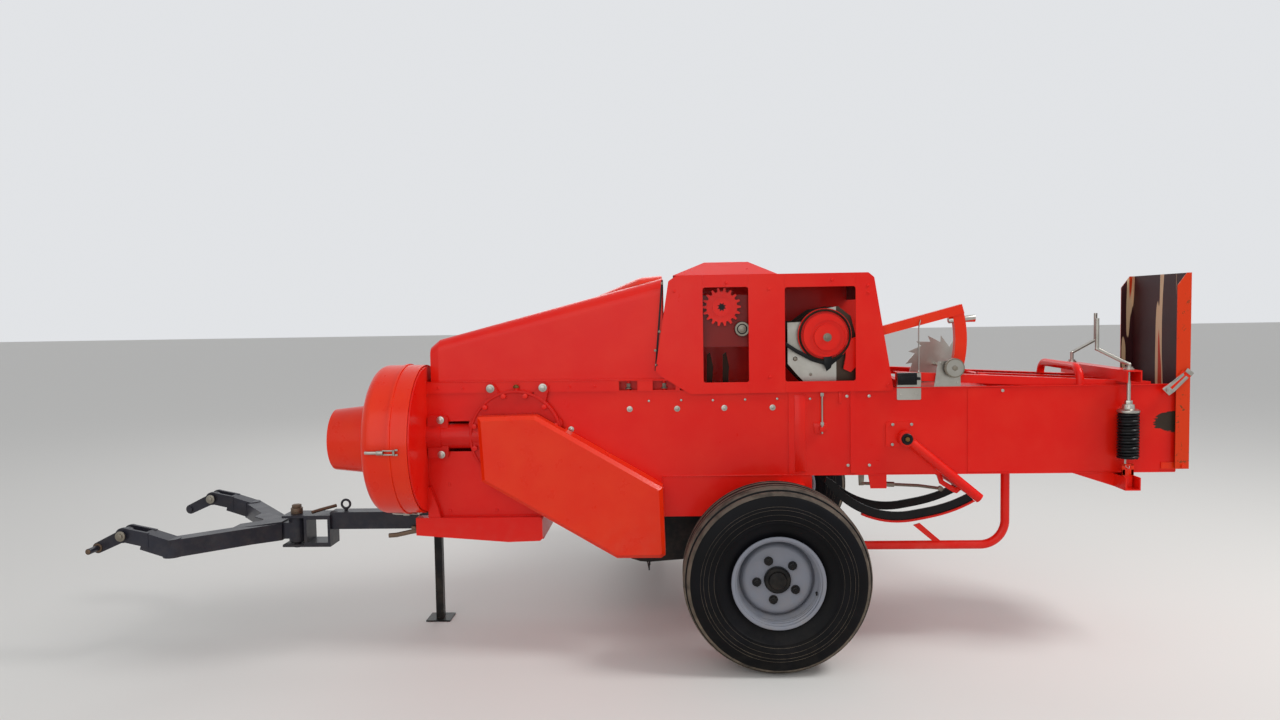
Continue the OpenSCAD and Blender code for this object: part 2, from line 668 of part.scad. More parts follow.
// Side outline of one stripper band: a ring open at the rear, with a leg to the table and one to the rear cross angle
module band_outline() {
  t = 4;
  difference() {
    translate([reel_x, reel_z]) circle(r = band_r);
    translate([reel_x, reel_z]) circle(r = band_r - t);
    translate([reel_x, reel_z]) polygon([[0, 0], 400 * [cos(-35), sin(-35)], [400, 0], 400 * [cos(62), sin(62)]]);
  }
  for (leg = [[64, [-408, 834], [-404, 830]], [-37, [-340, 321], [-335, 325]]]) {
    foot = [reel_x + (band_r - 2) * cos(leg[0]), reel_z + (band_r - 2) * sin(leg[0])];
    d = (leg[1] - foot) / norm(leg[1] - foot);
    polygon([foot + 1.9 * [d[1], -d[0]], leg[1] + 1.9 * [d[1], -d[0]], leg[1] - 1.9 * [d[1], -d[0]], foot - 1.9 * [d[1], -d[0]]]);
  }
}

// End plates, lift tube, cross angles and stripper bands of the pickup, with the gauge wheel's stub
module pickup_frame() color(black) place() {
  for (y = [pickup_y0, pickup_y1 - 16]) side_plate(y, y + 6) difference() {
    hull() {
      translate([reel_x, reel_z]) circle(r = band_r + 4, $fn = 32);
      translate([lift_x, lift_z]) circle(r = 28, $fn = 32);
      translate([-337, 324]) circle(r = 18, $fn = 32);
      translate([-409, 832]) circle(r = 14, $fn = 32);
    }
    translate([reel_x, reel_z]) circle(r = 22 + run_gap);
  }
  bar_y(lift_x, lift_z, 22, 262, pickup_y1 + 22);
  box([-351, pickup_y0 + 5, 317], [-324, pickup_y1 - 15, 331]);
  box([-420, pickup_y0 + 5, 826], [-398, pickup_y1 - 15, 838]);
  for (i = [0 : bands - 1]) {
    y = pickup_y0 + 62 + i * band_pitch;
    side_plate(y, y + band_pitch - 24) band_outline();
  }
  bar_y(gauge_x, gauge_z, 12, pickup_y1 - 14, pickup_y1 + 86);
}

// Reel shaft, end discs, four tine bars and their rows of tines
module pickup_reel() color(black) place() {
  bar_y(reel_x, reel_z, 22, pickup_y0 - 16, pickup_y1 + 4);
  for (a = [0 : 90 : 270]) translate([reel_x, 0, reel_z]) rotate([0, a, 0]) {
    translate([0, pickup_y0 + 12, 180]) rotate([-90, 0, 0]) cylinder(r = 12, h = pickup_y1 - pickup_y0 - 34);
    for (i = [0 : bands]) translate([0, pickup_y0 + 50 + i * band_pitch, 185]) cylinder(r = 4, h = tine_r - 185);
  }
  for (y = [pickup_y0 + 12, pickup_y1 - 28]) bar_y(reel_x, reel_z, 197, y, y + 6);
}

module gauge_wheel() color(rubber) place() difference() {
  bar_y(gauge_x, gauge_z, gauge_r, pickup_y1 + 24, pickup_y1 + 84);
  bar_y(gauge_x, gauge_z, gauge_r - 40, pickup_y1 + 64, pickup_y1 + 90);
  bar_y(gauge_x, gauge_z, 12 + run_gap, pickup_y1, pickup_y1 + 90);
}

arm_y = half_w + 36;
arm_a = -40;

// Pivot plates on the walls with the stub pins that carry the needle yoke
module needle_pivots() for (s = [-1, 1]) {
  side_plate(s < 0 ? -half_w - 6 : half_w, s < 0 ? -half_w : half_w + 6) translate([needle_x - 88, needle_z - 45]) rounded(134, 122, 12);
  bar_y(needle_x, needle_z, 16, s < 0 ? -arm_y - 24 : half_w + 6, s < 0 ? -half_w - 6 : arm_y + 24);
}

// Radius of the needle's outer edge at an angle: it swells towards the root
function needle_edge(a) = needle_r + (a > -78 ? 70 * pow((a + 78) / 38, 1.6) : 0);
function edge_point(a, r) = [needle_x + r * cos(a), needle_z + r * sin(a)];

// Arms, cross tube and the curved bar under the left needle
module needle_yoke() color(red) place() {
  cross = edge_point(arm_a, 400);
  tip = edge_point(arm_a, 452);
  difference() {
    union() {
      for (s = [-1, 1]) {
        rod([needle_x, s * arm_y, needle_z], [tip[0], s * arm_y, tip[1]], yoke_r);
        bar_y(needle_x, needle_z, 36, s * arm_y - 20, s * arm_y + 20);
      }
      bar_y(cross[0], cross[1], yoke_r - 2, -arm_y, arm_y);
    }
    bar_y(needle_x, needle_z, 16 + run_gap, -arm_y - 50, arm_y + 50);
  }
  side_plate(-needle_y - 14, -needle_y + 14) polygon(concat(
    [for (a = [-42 : -4 : -114]) edge_point(a, needle_edge(a))],
    [for (a = [-114 : 4 : -42]) edge_point(a, needle_edge(a) + 10)]));
}

// The two curved needles, cut to sit on the cross tube
module needles() color(black) place() difference() {
  cross = edge_point(arm_a, 400);
  for (s = [-1, 1]) side_plate(s * needle_y - 5, s * needle_y + 5) polygon(concat(
    [for (a = [-42 : -4 : -146]) edge_point(a, needle_edge(a))],
    [edge_point(-149, needle_r - 22)],
    [for (a = [-142 : 4 : -42]) edge_point(a, needle_edge(a) - needle_w)],
    [cross + [yoke_r - 6, 0]]));
  bar_y(cross[0], cross[1], yoke_r - 2, -needle_y - 20, needle_y + 20);
}

guard_r = 21;
guard_y = -needle_y - 42;

// Quarter bend of the guard tube about a centre, starting at an angle
module bend(x, z, r, a) translate([x, guard_y, z]) rotate([90, 0, 0]) rotate([0, 0, a])
  rotate_extrude(angle = 90) translate([r, 0]) circle(r = guard_r);

// Tube hoop under the needles, from the chamber floor round to the cross beam, and its strut
module needle_guard() color(red) place() {
  rb = 120;
  z = 490;
  rod([1150, guard_y, z + rb], [1150, guard_y, chamber_z0], guard_r);
  bend(1150 - rb, z + rb, rb, 270);
  rod([100 + rb, guard_y, z], [1150 - rb, guard_y, z], guard_r);
  bend(100 + rb, z + rb, rb, 180);
  rod([100, guard_y, z + rb], [100, guard_y, axle_z0], guard_r);
  side_plate(guard_y - 6, guard_y + 6) polygon([[850, z + 10], [810, z + 10], [706, 588], [738, 598]]);
}

// Two angle rails over the chamber and the strip between them
module tension_rails() {
  for (s = [-1, 1]) {
    web = s < 0 ? -inner_w + 6 : inner_w - 12;
    side_plate(web, web + 6) polygon([[600, 1310], [600, 1350], [1800, 1288], [1800, 1248]]);
    lip = s < 0 ? -inner_w + 12 : inner_w - 52;
    side_plate(lip, lip + 40) polygon([[600, 1344], [600, 1350], [1800, 1288], [1800, 1282]]);
  }
  side_plate(-30, 0) polygon([[1060, 1318], [1060, 1326], [1800, 1288], [1800, 1280]]);
  box([604, -inner_w + 6, chamber_z1 + seat], [640, inner_w - 6, 1312]);
  box([1060, -inner_w + 6, 1300], [1090, inner_w - 6, 1319]);
}

// A channel across the chamber, open below or above
module channel(z0, z1, open_z) difference() {
  box([spring_x - 35, -half_w - 110, z0], [spring_x + 35, half_w + 110, z1]);
  box([spring_x - 29, -half_w - 111, z0 + (open_z < 0 ? -1 : 6)], [spring_x + 29, half_w + 111, z1 + (open_z < 0 ? -6 : 1)]);
}
spring_y = half_w + 56;
top_channel_z = 1293.3;
crank_r = 9;
grip_l = 142;

// Top and bottom cross channels that the springs pull together, with the spring hooks
module tension_channels() {
  difference() {
    channel(top_channel_z, top_channel_z + 56, -1);
    for (s = [-1, 1]) translate([spring_x, s * spring_y, top_channel_z]) cylinder(r = crank_r + run_gap, h = 100);
  }
  channel(790, 850, 1);
  for (s = [-1, 1]) {
    side_plate(s * spring_y - 4, s * spring_y + 4) translate([spring_x - 20, 796]) square([40, 100]);
    side_plate(s < 0 ? -inner_w : inner_w - 6, s < 0 ? -inner_w + 6 : inner_w)
      polygon([[1420, chamber_z0], [spring_x - 35, 790], [spring_x - 35, 850], [spring_x - 60, chamber_z0]]);
  }
}

arch_x = 1471;
arch_y = 238;
arch_r = 19;
arch_bend = 62;
arch_z1 = 1378;

// Tube hoop that stands on the two walls and holds the rails down
module tension_arch() {
  z = arch_z1 - arch_r;
  in = arch_y - arch_bend;
  for (s = [-1, 1]) {
    translate([arch_x, s * arch_y, chamber_z1 + seat]) cylinder(r = arch_r, h = z - arch_bend - chamber_z1 - seat);
    translate([arch_x, s * in, z - arch_bend]) rotate([90, 0, 90]) rotate([0, 0, s > 0 ? 0 : 90])
      rotate_extrude(angle = 90) translate([arch_bend, 0]) circle(r = arch_r);
  }
  bar_y(arch_x, z, arch_r, -in, in);
}

module tension_frame() color(red) place() {
  tension_rails();
  tension_channels();
  tension_arch();
}

// Coils of the two tension springs, as stacked rings on a thin core
module tension_springs() color(black) place() for (s = [-1, 1]) translate([spring_x, s * spring_y, 0]) {
  pitch = 228 / spring_turns;
  for (i = [0 : spring_turns - 1]) translate([0, 0, 927 + (i + 0.5) * pitch]) rotate_extrude()
    translate([spring_r - 6.5, 0]) circle(r = 6.5, $fn = 24);
  translate([0, 0, 927]) difference() {
    cylinder(r = spring_r - 9, h = 228);
    translate([0, 0, -1]) cylinder(r = spring_r - 15, h = 226);
  }
  translate([0, 0, 896]) cylinder(r = 7, h = 258);
}

// Threaded crank rods, their nuts on the springs and the two hand cranks
module tension_cranks() color(zinc) place() for (s = [-1, 1]) {
  y = s * spring_y;
  z0 = s < 0 ? 1374 : 1400;
  z1 = z0 + (s < 0 ? 76 : 66);
  hand = spring_x + (s < 0 ? -148 : 122);
  translate([spring_x, y, 1155]) cylinder(r = 28, h = 30, $fn = 6);
  rod([spring_x, y, 1185], [spring_x, y, z0], crank_r);
  translate([spring_x, y, z0]) sphere(r = crank_r + 1);
  rod([spring_x, y, z0], [hand, y, z1], crank_r);
  translate([hand, y, z1]) sphere(r = crank_r + 1);
  rod([hand, y, z1], [hand, y, z1 + grip_l], crank_r);
  translate([spring_x, y, top_channel_z + 56]) difference() {
    cylinder(r = 18, h = 14);
    translate([0, 0, -1]) cylinder(r = crank_r - 0.1, h = 20);
  }
}

// Star wheel with its saw teeth, shaft and knurled roller
module star_wheel() color(zinc) place() {
  bar_y(meter_x, meter_z, 9, -half_w - 14, 100);
  bar_y(meter_x, meter_z, 40, -half_w - 38, -half_w - 14);
  side_plate(56, 62) translate([meter_x, meter_z])
    polygon([for (i = [0 : star_teeth - 1], k = [0 : 1]) (k == 0 ? star_r : star_r - 34)
      * [cos((i - k * 0.12) * 360 / star_teeth), sin((i - k * 0.12) * 360 / star_teeth)]]);
}

// Bracket of the metering shaft and the counter's plate
module meter_bracket() color(zinc) place() {
  for (y = [-half_w, 92]) side_plate(y, y + plate_t) difference() {
    polygon([[meter_x - 88, chamber_z1], [meter_x + 38, chamber_z1], [meter_x + 34, meter_z + 36], [meter_x - 70, meter_z + 30]]);
    translate([meter_x, meter_z]) circle(r = 9 + run_gap);
  }
  side_plate(-half_w - 3, -half_w) translate([605, 1216]) rounded(114, 130, 6);
  difference() {
    box([601, -half_w - 34, 1290], [692, -half_w - 3, 1347]);
    box([612, -half_w - 35, 1302], [681, -half_w - 31, 1330]);
  }
}

// Trip arm: bar out of the knotter housing, sleeve and curved metering bar
module trip_arm() color(orange) place() {
  y = -half_w + 20;
  side_plate(y, y + 8) polygon([[470, 1550], [918, 1668], [930, 1624], [470, 1506]]);
  side_plate(y, y + 36) polygon([[470, 1550], [918, 1668], [919, 1662], [472, 1544]]);
  bar_y(500, 1538, 16, -panel_y + seat, y);
  bar_x(y + 22, 1597, 15, 858, 985);
  side_plate(y + 4, y + 40) polygon(concat(arc(390, 1500, 553, 14, -13, 10), arc(390, 1500, 498, -13, 14, 10)));
}

// Bale chute, folded up: plate at the rear with a flange down each side
module chute() color(brown) place() difference() {
  box([chute_x - chute_d, -chute_w / 2, chute_z0], [chute_x, chute_w / 2, chute_z0 + chute_l]);
  box([chute_x - chute_d - 1, -chute_w / 2 + 5, 0], [chute_x - 5, chute_w / 2 - 5, 3000]);
  bar_y(chute_pivot_x, chute_pivot_z, 9 + run_gap, -chute_w, chute_w);
  side_plate(-chute_w, chute_w) polygon([[chute_x - chute_d - 1, chute_z0 + chute_l + 1],
    [chute_x - 20, chute_z0 + chute_l + 1], [chute_x - chute_d - 1, chute_z0 + chute_l - 60]]);
}

// Pivot lugs and bolts of the chute, and the strap beside its left flange that holds it up
module chute_hinges() color(zinc) place() {
  for (s = [-1, 1]) chute_lug(s);
  y = -chute_w / 2 - latch_gap;
  side_plate(y - 6, y) polygon([[1861, 1224], [1830, 1256], [1891, 1298], [1925, 1341], [1963, 1313], [1918, 1274]]);
  bar_y(1858, 1250, 10, y - 14, -half_w);
}
latch_gap = 6;
module chute_lug(s) {
  side_plate(s < 0 ? -half_w - 6 : half_w, s < 0 ? -half_w : half_w + 6) hull() {
    translate([chute_pivot_x, chute_pivot_z]) circle(r = 15, $fn = 32);
    translate([chamber_x1 - 70, chute_pivot_z - 15]) square([20, 30]);
  }
  out = chute_w / 2 + 12;
  bar_y(chute_pivot_x, chute_pivot_z, 9, s < 0 ? -out : half_w + 6, s < 0 ? -half_w - 6 : out);
}

// Jack: sleeve on the front of the body, and the square leg with its foot plate
jack_x = -1750;
jack_y = 235;
module jack_sleeve() difference() {
  union() {
    box([jack_x - 27, jack_y - 27, 590], [jack_x + 27, jack_y + 27, 770]);
    box([jack_x + 27, jack_y - 20, 690], [chamber_x0 - 8, jack_y + 20, 750]);
  }
  box([jack_x - 21, jack_y - 21, 500], [jack_x + 21, jack_y + 21, 800]);
}
module jack_leg() color(black) place() {
  box([jack_x - 20.5, jack_y - 20.5, 8], [jack_x + 20.5, jack_y + 20.5, 790]);
  box([jack_x - 65, jack_y - 65, 0], [jack_x + 65, jack_y + 65, 8]);
}

head_z0 = 475;
head_z1 = 637;
coupling_r = 19;

// Drawbar tube with its rear pivot eye, coupling head, coupling pin and lifting eye
module drawbar() color(slate) place() {
  h = drawbar_a / 2;
  difference() {
    union() {
      box([coupling_x + 190, -h, drawbar_z - h], [drawbar_x, h, drawbar_z + h]);
      translate([drawbar_x, 0, drawbar_z - h]) cylinder(r = h, h = drawbar_a);
    }
    translate([drawbar_x, 0, 500]) cylinder(r = pivot_r + run_gap, h = 300);
    box([coupling_x + 200, -h + 7, drawbar_z - h + 7], [drawbar_x - h - 20, h - 7, drawbar_z + h - 7]);
  }
  difference() {
    box([coupling_x - 54, -65, head_z0], [coupling_x + 196, 65, head_z1]);
    box([coupling_x - 60, -90, head_z0 + 12], [coupling_x + 60, 90, head_z1 - 12]);
    box([coupling_x + 74, -90, head_z0 + 22], [coupling_x + 183, 90, head_z1 - 20]);
  }
  translate([coupling_x, 0, head_z0 - 14]) cylinder(r = coupling_r, h = head_z1 - head_z0 + 44);
  translate([coupling_x + 260, 0, drawbar_z + h + 34]) rotate([90, 0, 0]) rotate_extrude() translate([22, 0]) circle(r = 6);
  translate([coupling_x + 260, 0, drawbar_z + h]) cylinder(r = 9, h = 14);
}

fork_z = 555;
fork_a = 84;
knee_x = -2862;
knee_z = 571;
cheek_x = clevis_x + 92;

// A box tube between two points
module beam(a, b, w, h) {
  d = b - a;
  l = norm(d);
  translate(a) rotate([0, -asin(d[2] / l), atan2(d[1], d[0])]) translate([0, -w / 2, -h / 2]) cube([l, w, h]);
}

// One arm of the fork: box tube out to the knee, then forward to the clevis cheeks
module fork_arm(s) {
  h = s * hitch_span / 2;
  beam([coupling_x - 90, s * 30, fork_z], [knee_x, h, knee_z], fork_a, fork_a);
  translate([knee_x, h, knee_z - fork_a / 2 - 2]) cylinder(r = fork_a / 2, h = fork_a + 4);
  beam([knee_x + 5, h, knee_z], [cheek_x, h, clevis_z - 28], fork_a, fork_a);
  for (c = [-1, 1]) side_plate(h + c * 36 - 8, h + c * 36 + 8) difference() {
    union() {
      translate([clevis_x, clevis_z]) circle(r = 36);
      polygon([[clevis_x, clevis_z + 36], [cheek_x + 30, clevis_z + 10], [cheek_x + 30, clevis_z - 60], [clevis_x - 25, clevis_z - 26]]);
    }
    translate([clevis_x, clevis_z]) circle(r = 15 + run_gap);
  }
}

// Fork of the two-point hitch, with its tongue and gusset plates
module hitch_fork() color(slate) place() {
  a = fork_a / 2;
  for (s = [-1, 1]) fork_arm(s);
  difference() {
    union() {
      translate([coupling_x, 0, head_z0 + 18]) cylinder(r = 42, h = head_z1 - head_z0 - 36);
      box([coupling_x - 104, -42, fork_z - a], [coupling_x, 42, fork_z + a]);
      for (z = [fork_z - a - 6, fork_z + a]) translate([coupling_x, 0, z]) linear_extrude(6)
        difference() {
          polygon([[-62, -50], [-62, 50], [-262, 190], [-262, -190]]);
          hull() {
            translate([-215, 0]) circle(r = 34);
            translate([-400, 0]) circle(r = 150);
          }
        }
    }
    translate([coupling_x, 0, 400]) cylinder(r = coupling_r + run_gap, h = 400);
  }
}

// Hitch link with its clevis pin and the hitch pin that stands out of it
module link(s) {
  y = s * hitch_span / 2;
  px = clevis_x - pin_reach;
  pz = clevis_z - link_drop;
  side_plate(y - link_t / 2, y + link_t / 2) hull() {
    translate([clevis_x, clevis_z]) circle(r = 30, $fn = 32);
    translate([px, pz]) circle(r = hitch_pin_r + 12, $fn = 32);
  }
  bar_y(clevis_x, clevis_z, 15, y - 58, y + 58);
  y0 = s < 0 ? y - link_t / 2 - pin_out : y - link_t / 2 - 12;
  bar_y(px, pz, hitch_pin_r, y0, y0 + pin_out + link_t + 12);
}
module left_link() color(slate) place() link(-1);
module right_link() color(slate) place() link(1);

// Tyre with a ribbed tread, as a revolved section in radius and distance from its middle
module tyre(y) {
  r = tyre_d / 2;
  w = tyre_w / 2;
  bead = rim_d / 2 - 14;
  side = [[bead, 108], [bead + 30, w - 23], [290, w - 2], [r - 90, w], [r - 45, w - 7], [r - 14, w - 27], [r - 4, w - 52]];
  crown = [[r, 62], [r - 13, 58], [r - 13, 50], [r, 46], [r, 8], [r - 13, 4]];
  inside = [[bead, 100], [280, w - 25], [r - 90, w - 20], [r - 30, w - 45], [r - 26, 0]];
  function flip(p) = [for (i = [len(p) - 1 : -1 : 0]) [p[i][0], -p[i][1]]];
  translate([0, y, axle_z]) rotate([-90, 0, 0]) rotate_extrude($fn = 96)
    polygon(concat(side, crown, flip(crown), flip(side), [for (q = inside) [q[0], -q[1]]], [for (i = [1 : 4]) inside[4 - i]]));
}

// Section of the wheel disc: radius, and distance from the tyre's middle towards the outside
DISH = [[40, 50], [122, 50], [134, 40], [150, 18], [rim_d / 2 - 34, 12], [rim_d / 2 - 34, 24], [156, 30],
  [142, 48], [127, 60], [40, 60]];
stud_ring = 94;

// Rim with its disc set towards the outside, five studs, hub and cap; side is -1 for left and 1 for right
module rim(y, side) {
  r = rim_d / 2;
  translate([0, y, axle_z]) rotate([-90, 0, 0]) difference() {
    union() {
      rotate_extrude($fn = 96) polygon([[r - 15, -128], [r, -128], [r, -122], [r - 15, -108], [r - 15, -60], [r - 34, -40],
        [r - 34, 40], [r - 15, 60], [r - 15, 108], [r, 122], [r, 128], [r - 15, 128], [r - 21, 110], [r - 21, 62],
        [r - 40, 42], [r - 40, -42], [r - 21, -62], [r - 21, -110]]);
      rotate_extrude($fn = 96) polygon([for (p = DISH) [p[0], side * p[1]]]);
      translate([0, 0, side < 0 ? -78 : -60]) cylinder(r = 58, h = 138);
      translate([0, 0, side < 0 ? -90 : 78]) cylinder(r = 40, h = 12);
      for (a = [18 : 72 : 306]) rotate([0, 0, a]) translate([stud_ring, 0, side < 0 ? -72 : 56]) cylinder(r = 16, h = 16);
    }
    translate([0, 0, side < 0 ? -70 : -200]) cylinder(r = spindle_r + run_gap, h = 270);
  }
}
module left_tyre() color(rubber) place() tyre(left_tyre_y);
module left_rim() color(rim_grey) place() rim(left_tyre_y, -1);
module right_tyre() color(rubber) place() translate([right_axle_x, 0, 0]) tyre(right_tyre_y);
module right_rim() color(rim_grey) place() translate([right_axle_x, 0, 0]) rim(right_tyre_y, 1);

left_wall();
right_wall();
chamber_plates();
front_body();
bottom_pan();
front_bulkhead();
top_beams();
under_frame();
axle();
gearbox();
drive_guard();
flywheel_guard();
flywheel();
front_hood();
hood_hump();
knotter_housing();
knotter_frame();
knotter_drive();
plunger();
feed_chamber();
wind_guard();
twine_box();
twine_lid();
pickup_frame();
pickup_reel();
gauge_wheel();
needle_yoke();
needles();
needle_guard();
tension_frame();
tension_springs();
tension_cranks();
star_wheel();
meter_bracket();
trip_arm();
chute();
chute_hinges();
jack_leg();
drawbar();
hitch_fork();
left_link();
right_link();
left_tyre();
left_rim();
right_tyre();
right_rim();
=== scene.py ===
"""Looks of a side-fed small square baler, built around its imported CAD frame."""

import logging
import math
from dataclasses import dataclass, replace
from enum import Enum
from functools import cache

import bmesh
import bpy
from mathutils import Matrix, Vector


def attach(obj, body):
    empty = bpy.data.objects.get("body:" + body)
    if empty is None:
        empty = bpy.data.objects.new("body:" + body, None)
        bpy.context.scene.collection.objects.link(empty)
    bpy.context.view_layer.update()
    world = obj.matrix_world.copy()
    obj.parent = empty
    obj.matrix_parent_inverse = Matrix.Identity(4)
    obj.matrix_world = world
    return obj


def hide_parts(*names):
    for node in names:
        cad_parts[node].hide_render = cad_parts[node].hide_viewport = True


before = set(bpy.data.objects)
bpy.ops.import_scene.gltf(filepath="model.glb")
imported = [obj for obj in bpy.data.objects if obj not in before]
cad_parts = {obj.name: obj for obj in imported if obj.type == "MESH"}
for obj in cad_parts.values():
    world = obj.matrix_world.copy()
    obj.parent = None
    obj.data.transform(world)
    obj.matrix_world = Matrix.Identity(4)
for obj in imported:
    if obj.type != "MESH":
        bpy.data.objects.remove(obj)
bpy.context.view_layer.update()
LOG = logging.getLogger("baler")

Point = tuple[float, float, float]
Pair = tuple[float, float]
Tree = bpy.types.NodeTree
Socket = bpy.types.NodeSocket

MM = 0.001
# The shared frame's origin in the working axes, in metres.
ORIGIN_X = -0.639
ORIGIN_Y = 0.685
# Sides of the machine, as signs of Y.
LEFT = (-1,)
RIGHT = (1,)
SIDES = LEFT + RIGHT
# X and Z of the gearbox's axle, in working mm.
GEAR_AXLE = (-1225.0, 1065.0)

# Where a noise value turns from none to all: low and high limit.
FADE_EDGE = (0.35, 0.7)
CHIP_EDGE = (0.66, 0.7)
CHIP_AREA = (0.5, 0.62)
DUST_EDGE = (0.35, 0.75)
RUB_EDGE = (1.28, 1.36)
CREAM_EDGE = (0.585, 0.592)
EMBER_EDGE = (0.65, 0.68)
RUST_EDGE = (0.58, 0.62)
RUST_AREA = (0.48, 0.6)
# Share of the dust that lies at every height, how far the roughness varies, and the coat's own.
DUST_FILM = 0.04
ROUGHNESS_SPREAD = 0.22
COAT_ROUGHNESS = 0.12

# Vertices nearer than this, in metres, are one, and edges sharper than this, in degrees, stay sharp.
MERGE = 1e-6
SHARP_DEG = 32
# How far outside its place a fastener's ray starts, and how far it looks, in metres.
RAY_START = 0.012
RAY_LENGTH = 0.035
# A washer's height in mm, and a head's rounding and a dome's tip as shares of its radius.
WASHER_MM = 2.0
HEAD_BEVEL = 0.12
DOME_TIP = 0.72


class Axis(Enum):
    """Direction that a bolt head or a lathe faces, in the shared frame."""

    LEFT = (0.0, -1.0, 0.0)
    RIGHT = (0.0, 1.0, 0.0)
    UP = (0.0, 0.0, 1.0)


def at(x: float, y: float, z: float) -> Vector:
    """Turn a place in mm, from under the left wheel's axle, into the shared frame in metres."""
    return Vector((x * MM - ORIGIN_X, y * MM - ORIGIN_Y, z * MM))


def linear(code: str) -> tuple[float, float, float, float]:
    """Turn an sRGB hex value with its hash into the linear colour that shaders use, with an alpha of 1."""
    parts = [int(code[i : i + 2], 16) / 255 for i in (1, 3, 5)]
    red, green, blue = (c / 12.92 if c <= 0.04045 else ((c + 0.055) / 1.055) ** 2.4 for c in parts)
    return red, green, blue, 1.0


def add_node(tree: Tree, kind: str, links: dict | None = None, **settings: object) -> bpy.types.Node:
    """Add a shader node with its settings and its incoming links.

    Args:
        tree: Node tree that takes the node.
        kind: Blender's type name, without its ShaderNode prefix.
        links: Input name or number to the socket or value that it takes.
        **settings: Attributes of the node.

    Returns:
        The new node.
    """
    node = tree.nodes.new("ShaderNode" + kind)
    for name, value in settings.items():
        setattr(node, name, value)
    for name, value in (links or {}).items():
        if isinstance(value, Socket):
            tree.links.new(value, node.inputs[name])
        else:
            node.inputs[name].default_value = value
    return node


def ramp(tree: Tree, value: Socket, low: float, high: float) -> Socket:
    """Stretch a value between two limits to the range from 0 to 1, smoothly and clamped."""
    return add_node(tree, "MapRange", {"Value": value, "From Min": low, "From Max": high},
                    interpolation_type="SMOOTHSTEP").outputs["Result"]


def mix(tree: Tree, share: object, first: object, second: object) -> Socket:
    """Blend two colours by a share: Mix takes them in inputs 6 and 7 and gives output 2."""
    return add_node(tree, "Mix", {0: share, 6: first, 7: second}, data_type="RGBA").outputs[2]


def sum_of(tree: Tree, how: str, first: object, second: object) -> Socket:
    """Join two numbers by a math operation."""
    return add_node(tree, "Math", {0: first, 1: second}, operation=how).outputs[0]


@dataclass(frozen=True)
class Noise:
    """A soft random pattern with cells of a real size."""

    size_mm: float
    detail: float = 3.0
    roughness: float = 0.55
    stretch: Point = (1.0, 1.0, 1.0)

    def build(self, tree: Tree, coords: Socket) -> Socket:
        """Add the pattern to a tree and return its value."""
        mapped = add_node(tree, "Mapping", {"Vector": coords, "Scale": self.stretch}).outputs[0]
        links = {"Vector": mapped, "Scale": 1 / (self.size_mm * MM), "Detail": self.detail,
                 "Roughness": self.roughness}
        return add_node(tree, "TexNoise", links).outputs["Fac"]


@dataclass(frozen=True)
class Zone:
    """A part of the object, in working mm, where a surface has another colour."""

    low: Point
    high: Point
    colour: str

    def mask(self, tree: Tree, coords: Socket) -> Socket:
        """Add the test for being inside the zone and return its value."""
        parts = add_node(tree, "SeparateXYZ", {0: coords}).outputs
        low, high = at(*self.low), at(*self.high)
        inside = None
        for part, a, b in zip(parts, low, high):
            test = sum_of(tree, "COMPARE", part, (a + b) / 2)
            test.node.inputs[2].default_value = (b - a) / 2
            inside = test if inside is None else sum_of(tree, "MULTIPLY", inside, test)
        return inside


@dataclass(frozen=True)
class Rub(Zone):
    """An oval in the side view where something has rubbed the paint off, ragged at its rim."""

    def mask(self, tree: Tree, coords: Socket) -> Socket:
        """Add the ragged oval and return its value."""
        inside = super().mask(tree, coords)
        low, high = at(*self.low), at(*self.high)
        parts = add_node(tree, "SeparateXYZ", {0: coords}).outputs
        total = None
        for part, a, b in ((parts[0], low.x, high.x), (parts[2], low.z, high.z)):
            share = sum_of(tree, "DIVIDE", sum_of(tree, "SUBTRACT", part, (a + b) / 2), (b - a) / 2)
            square = sum_of(tree, "MULTIPLY", share, share)
            total = square if total is None else sum_of(tree, "ADD", total, square)
        ragged = sum_of(tree, "ADD", total, Noise(18, 5, 0.6, (0.4, 1.0, 1.6)).build(tree, coords))
        return sum_of(tree, "MULTIPLY", inside, sum_of(tree, "SUBTRACT", 1.0, ramp(tree, ragged, *RUB_EDGE)))


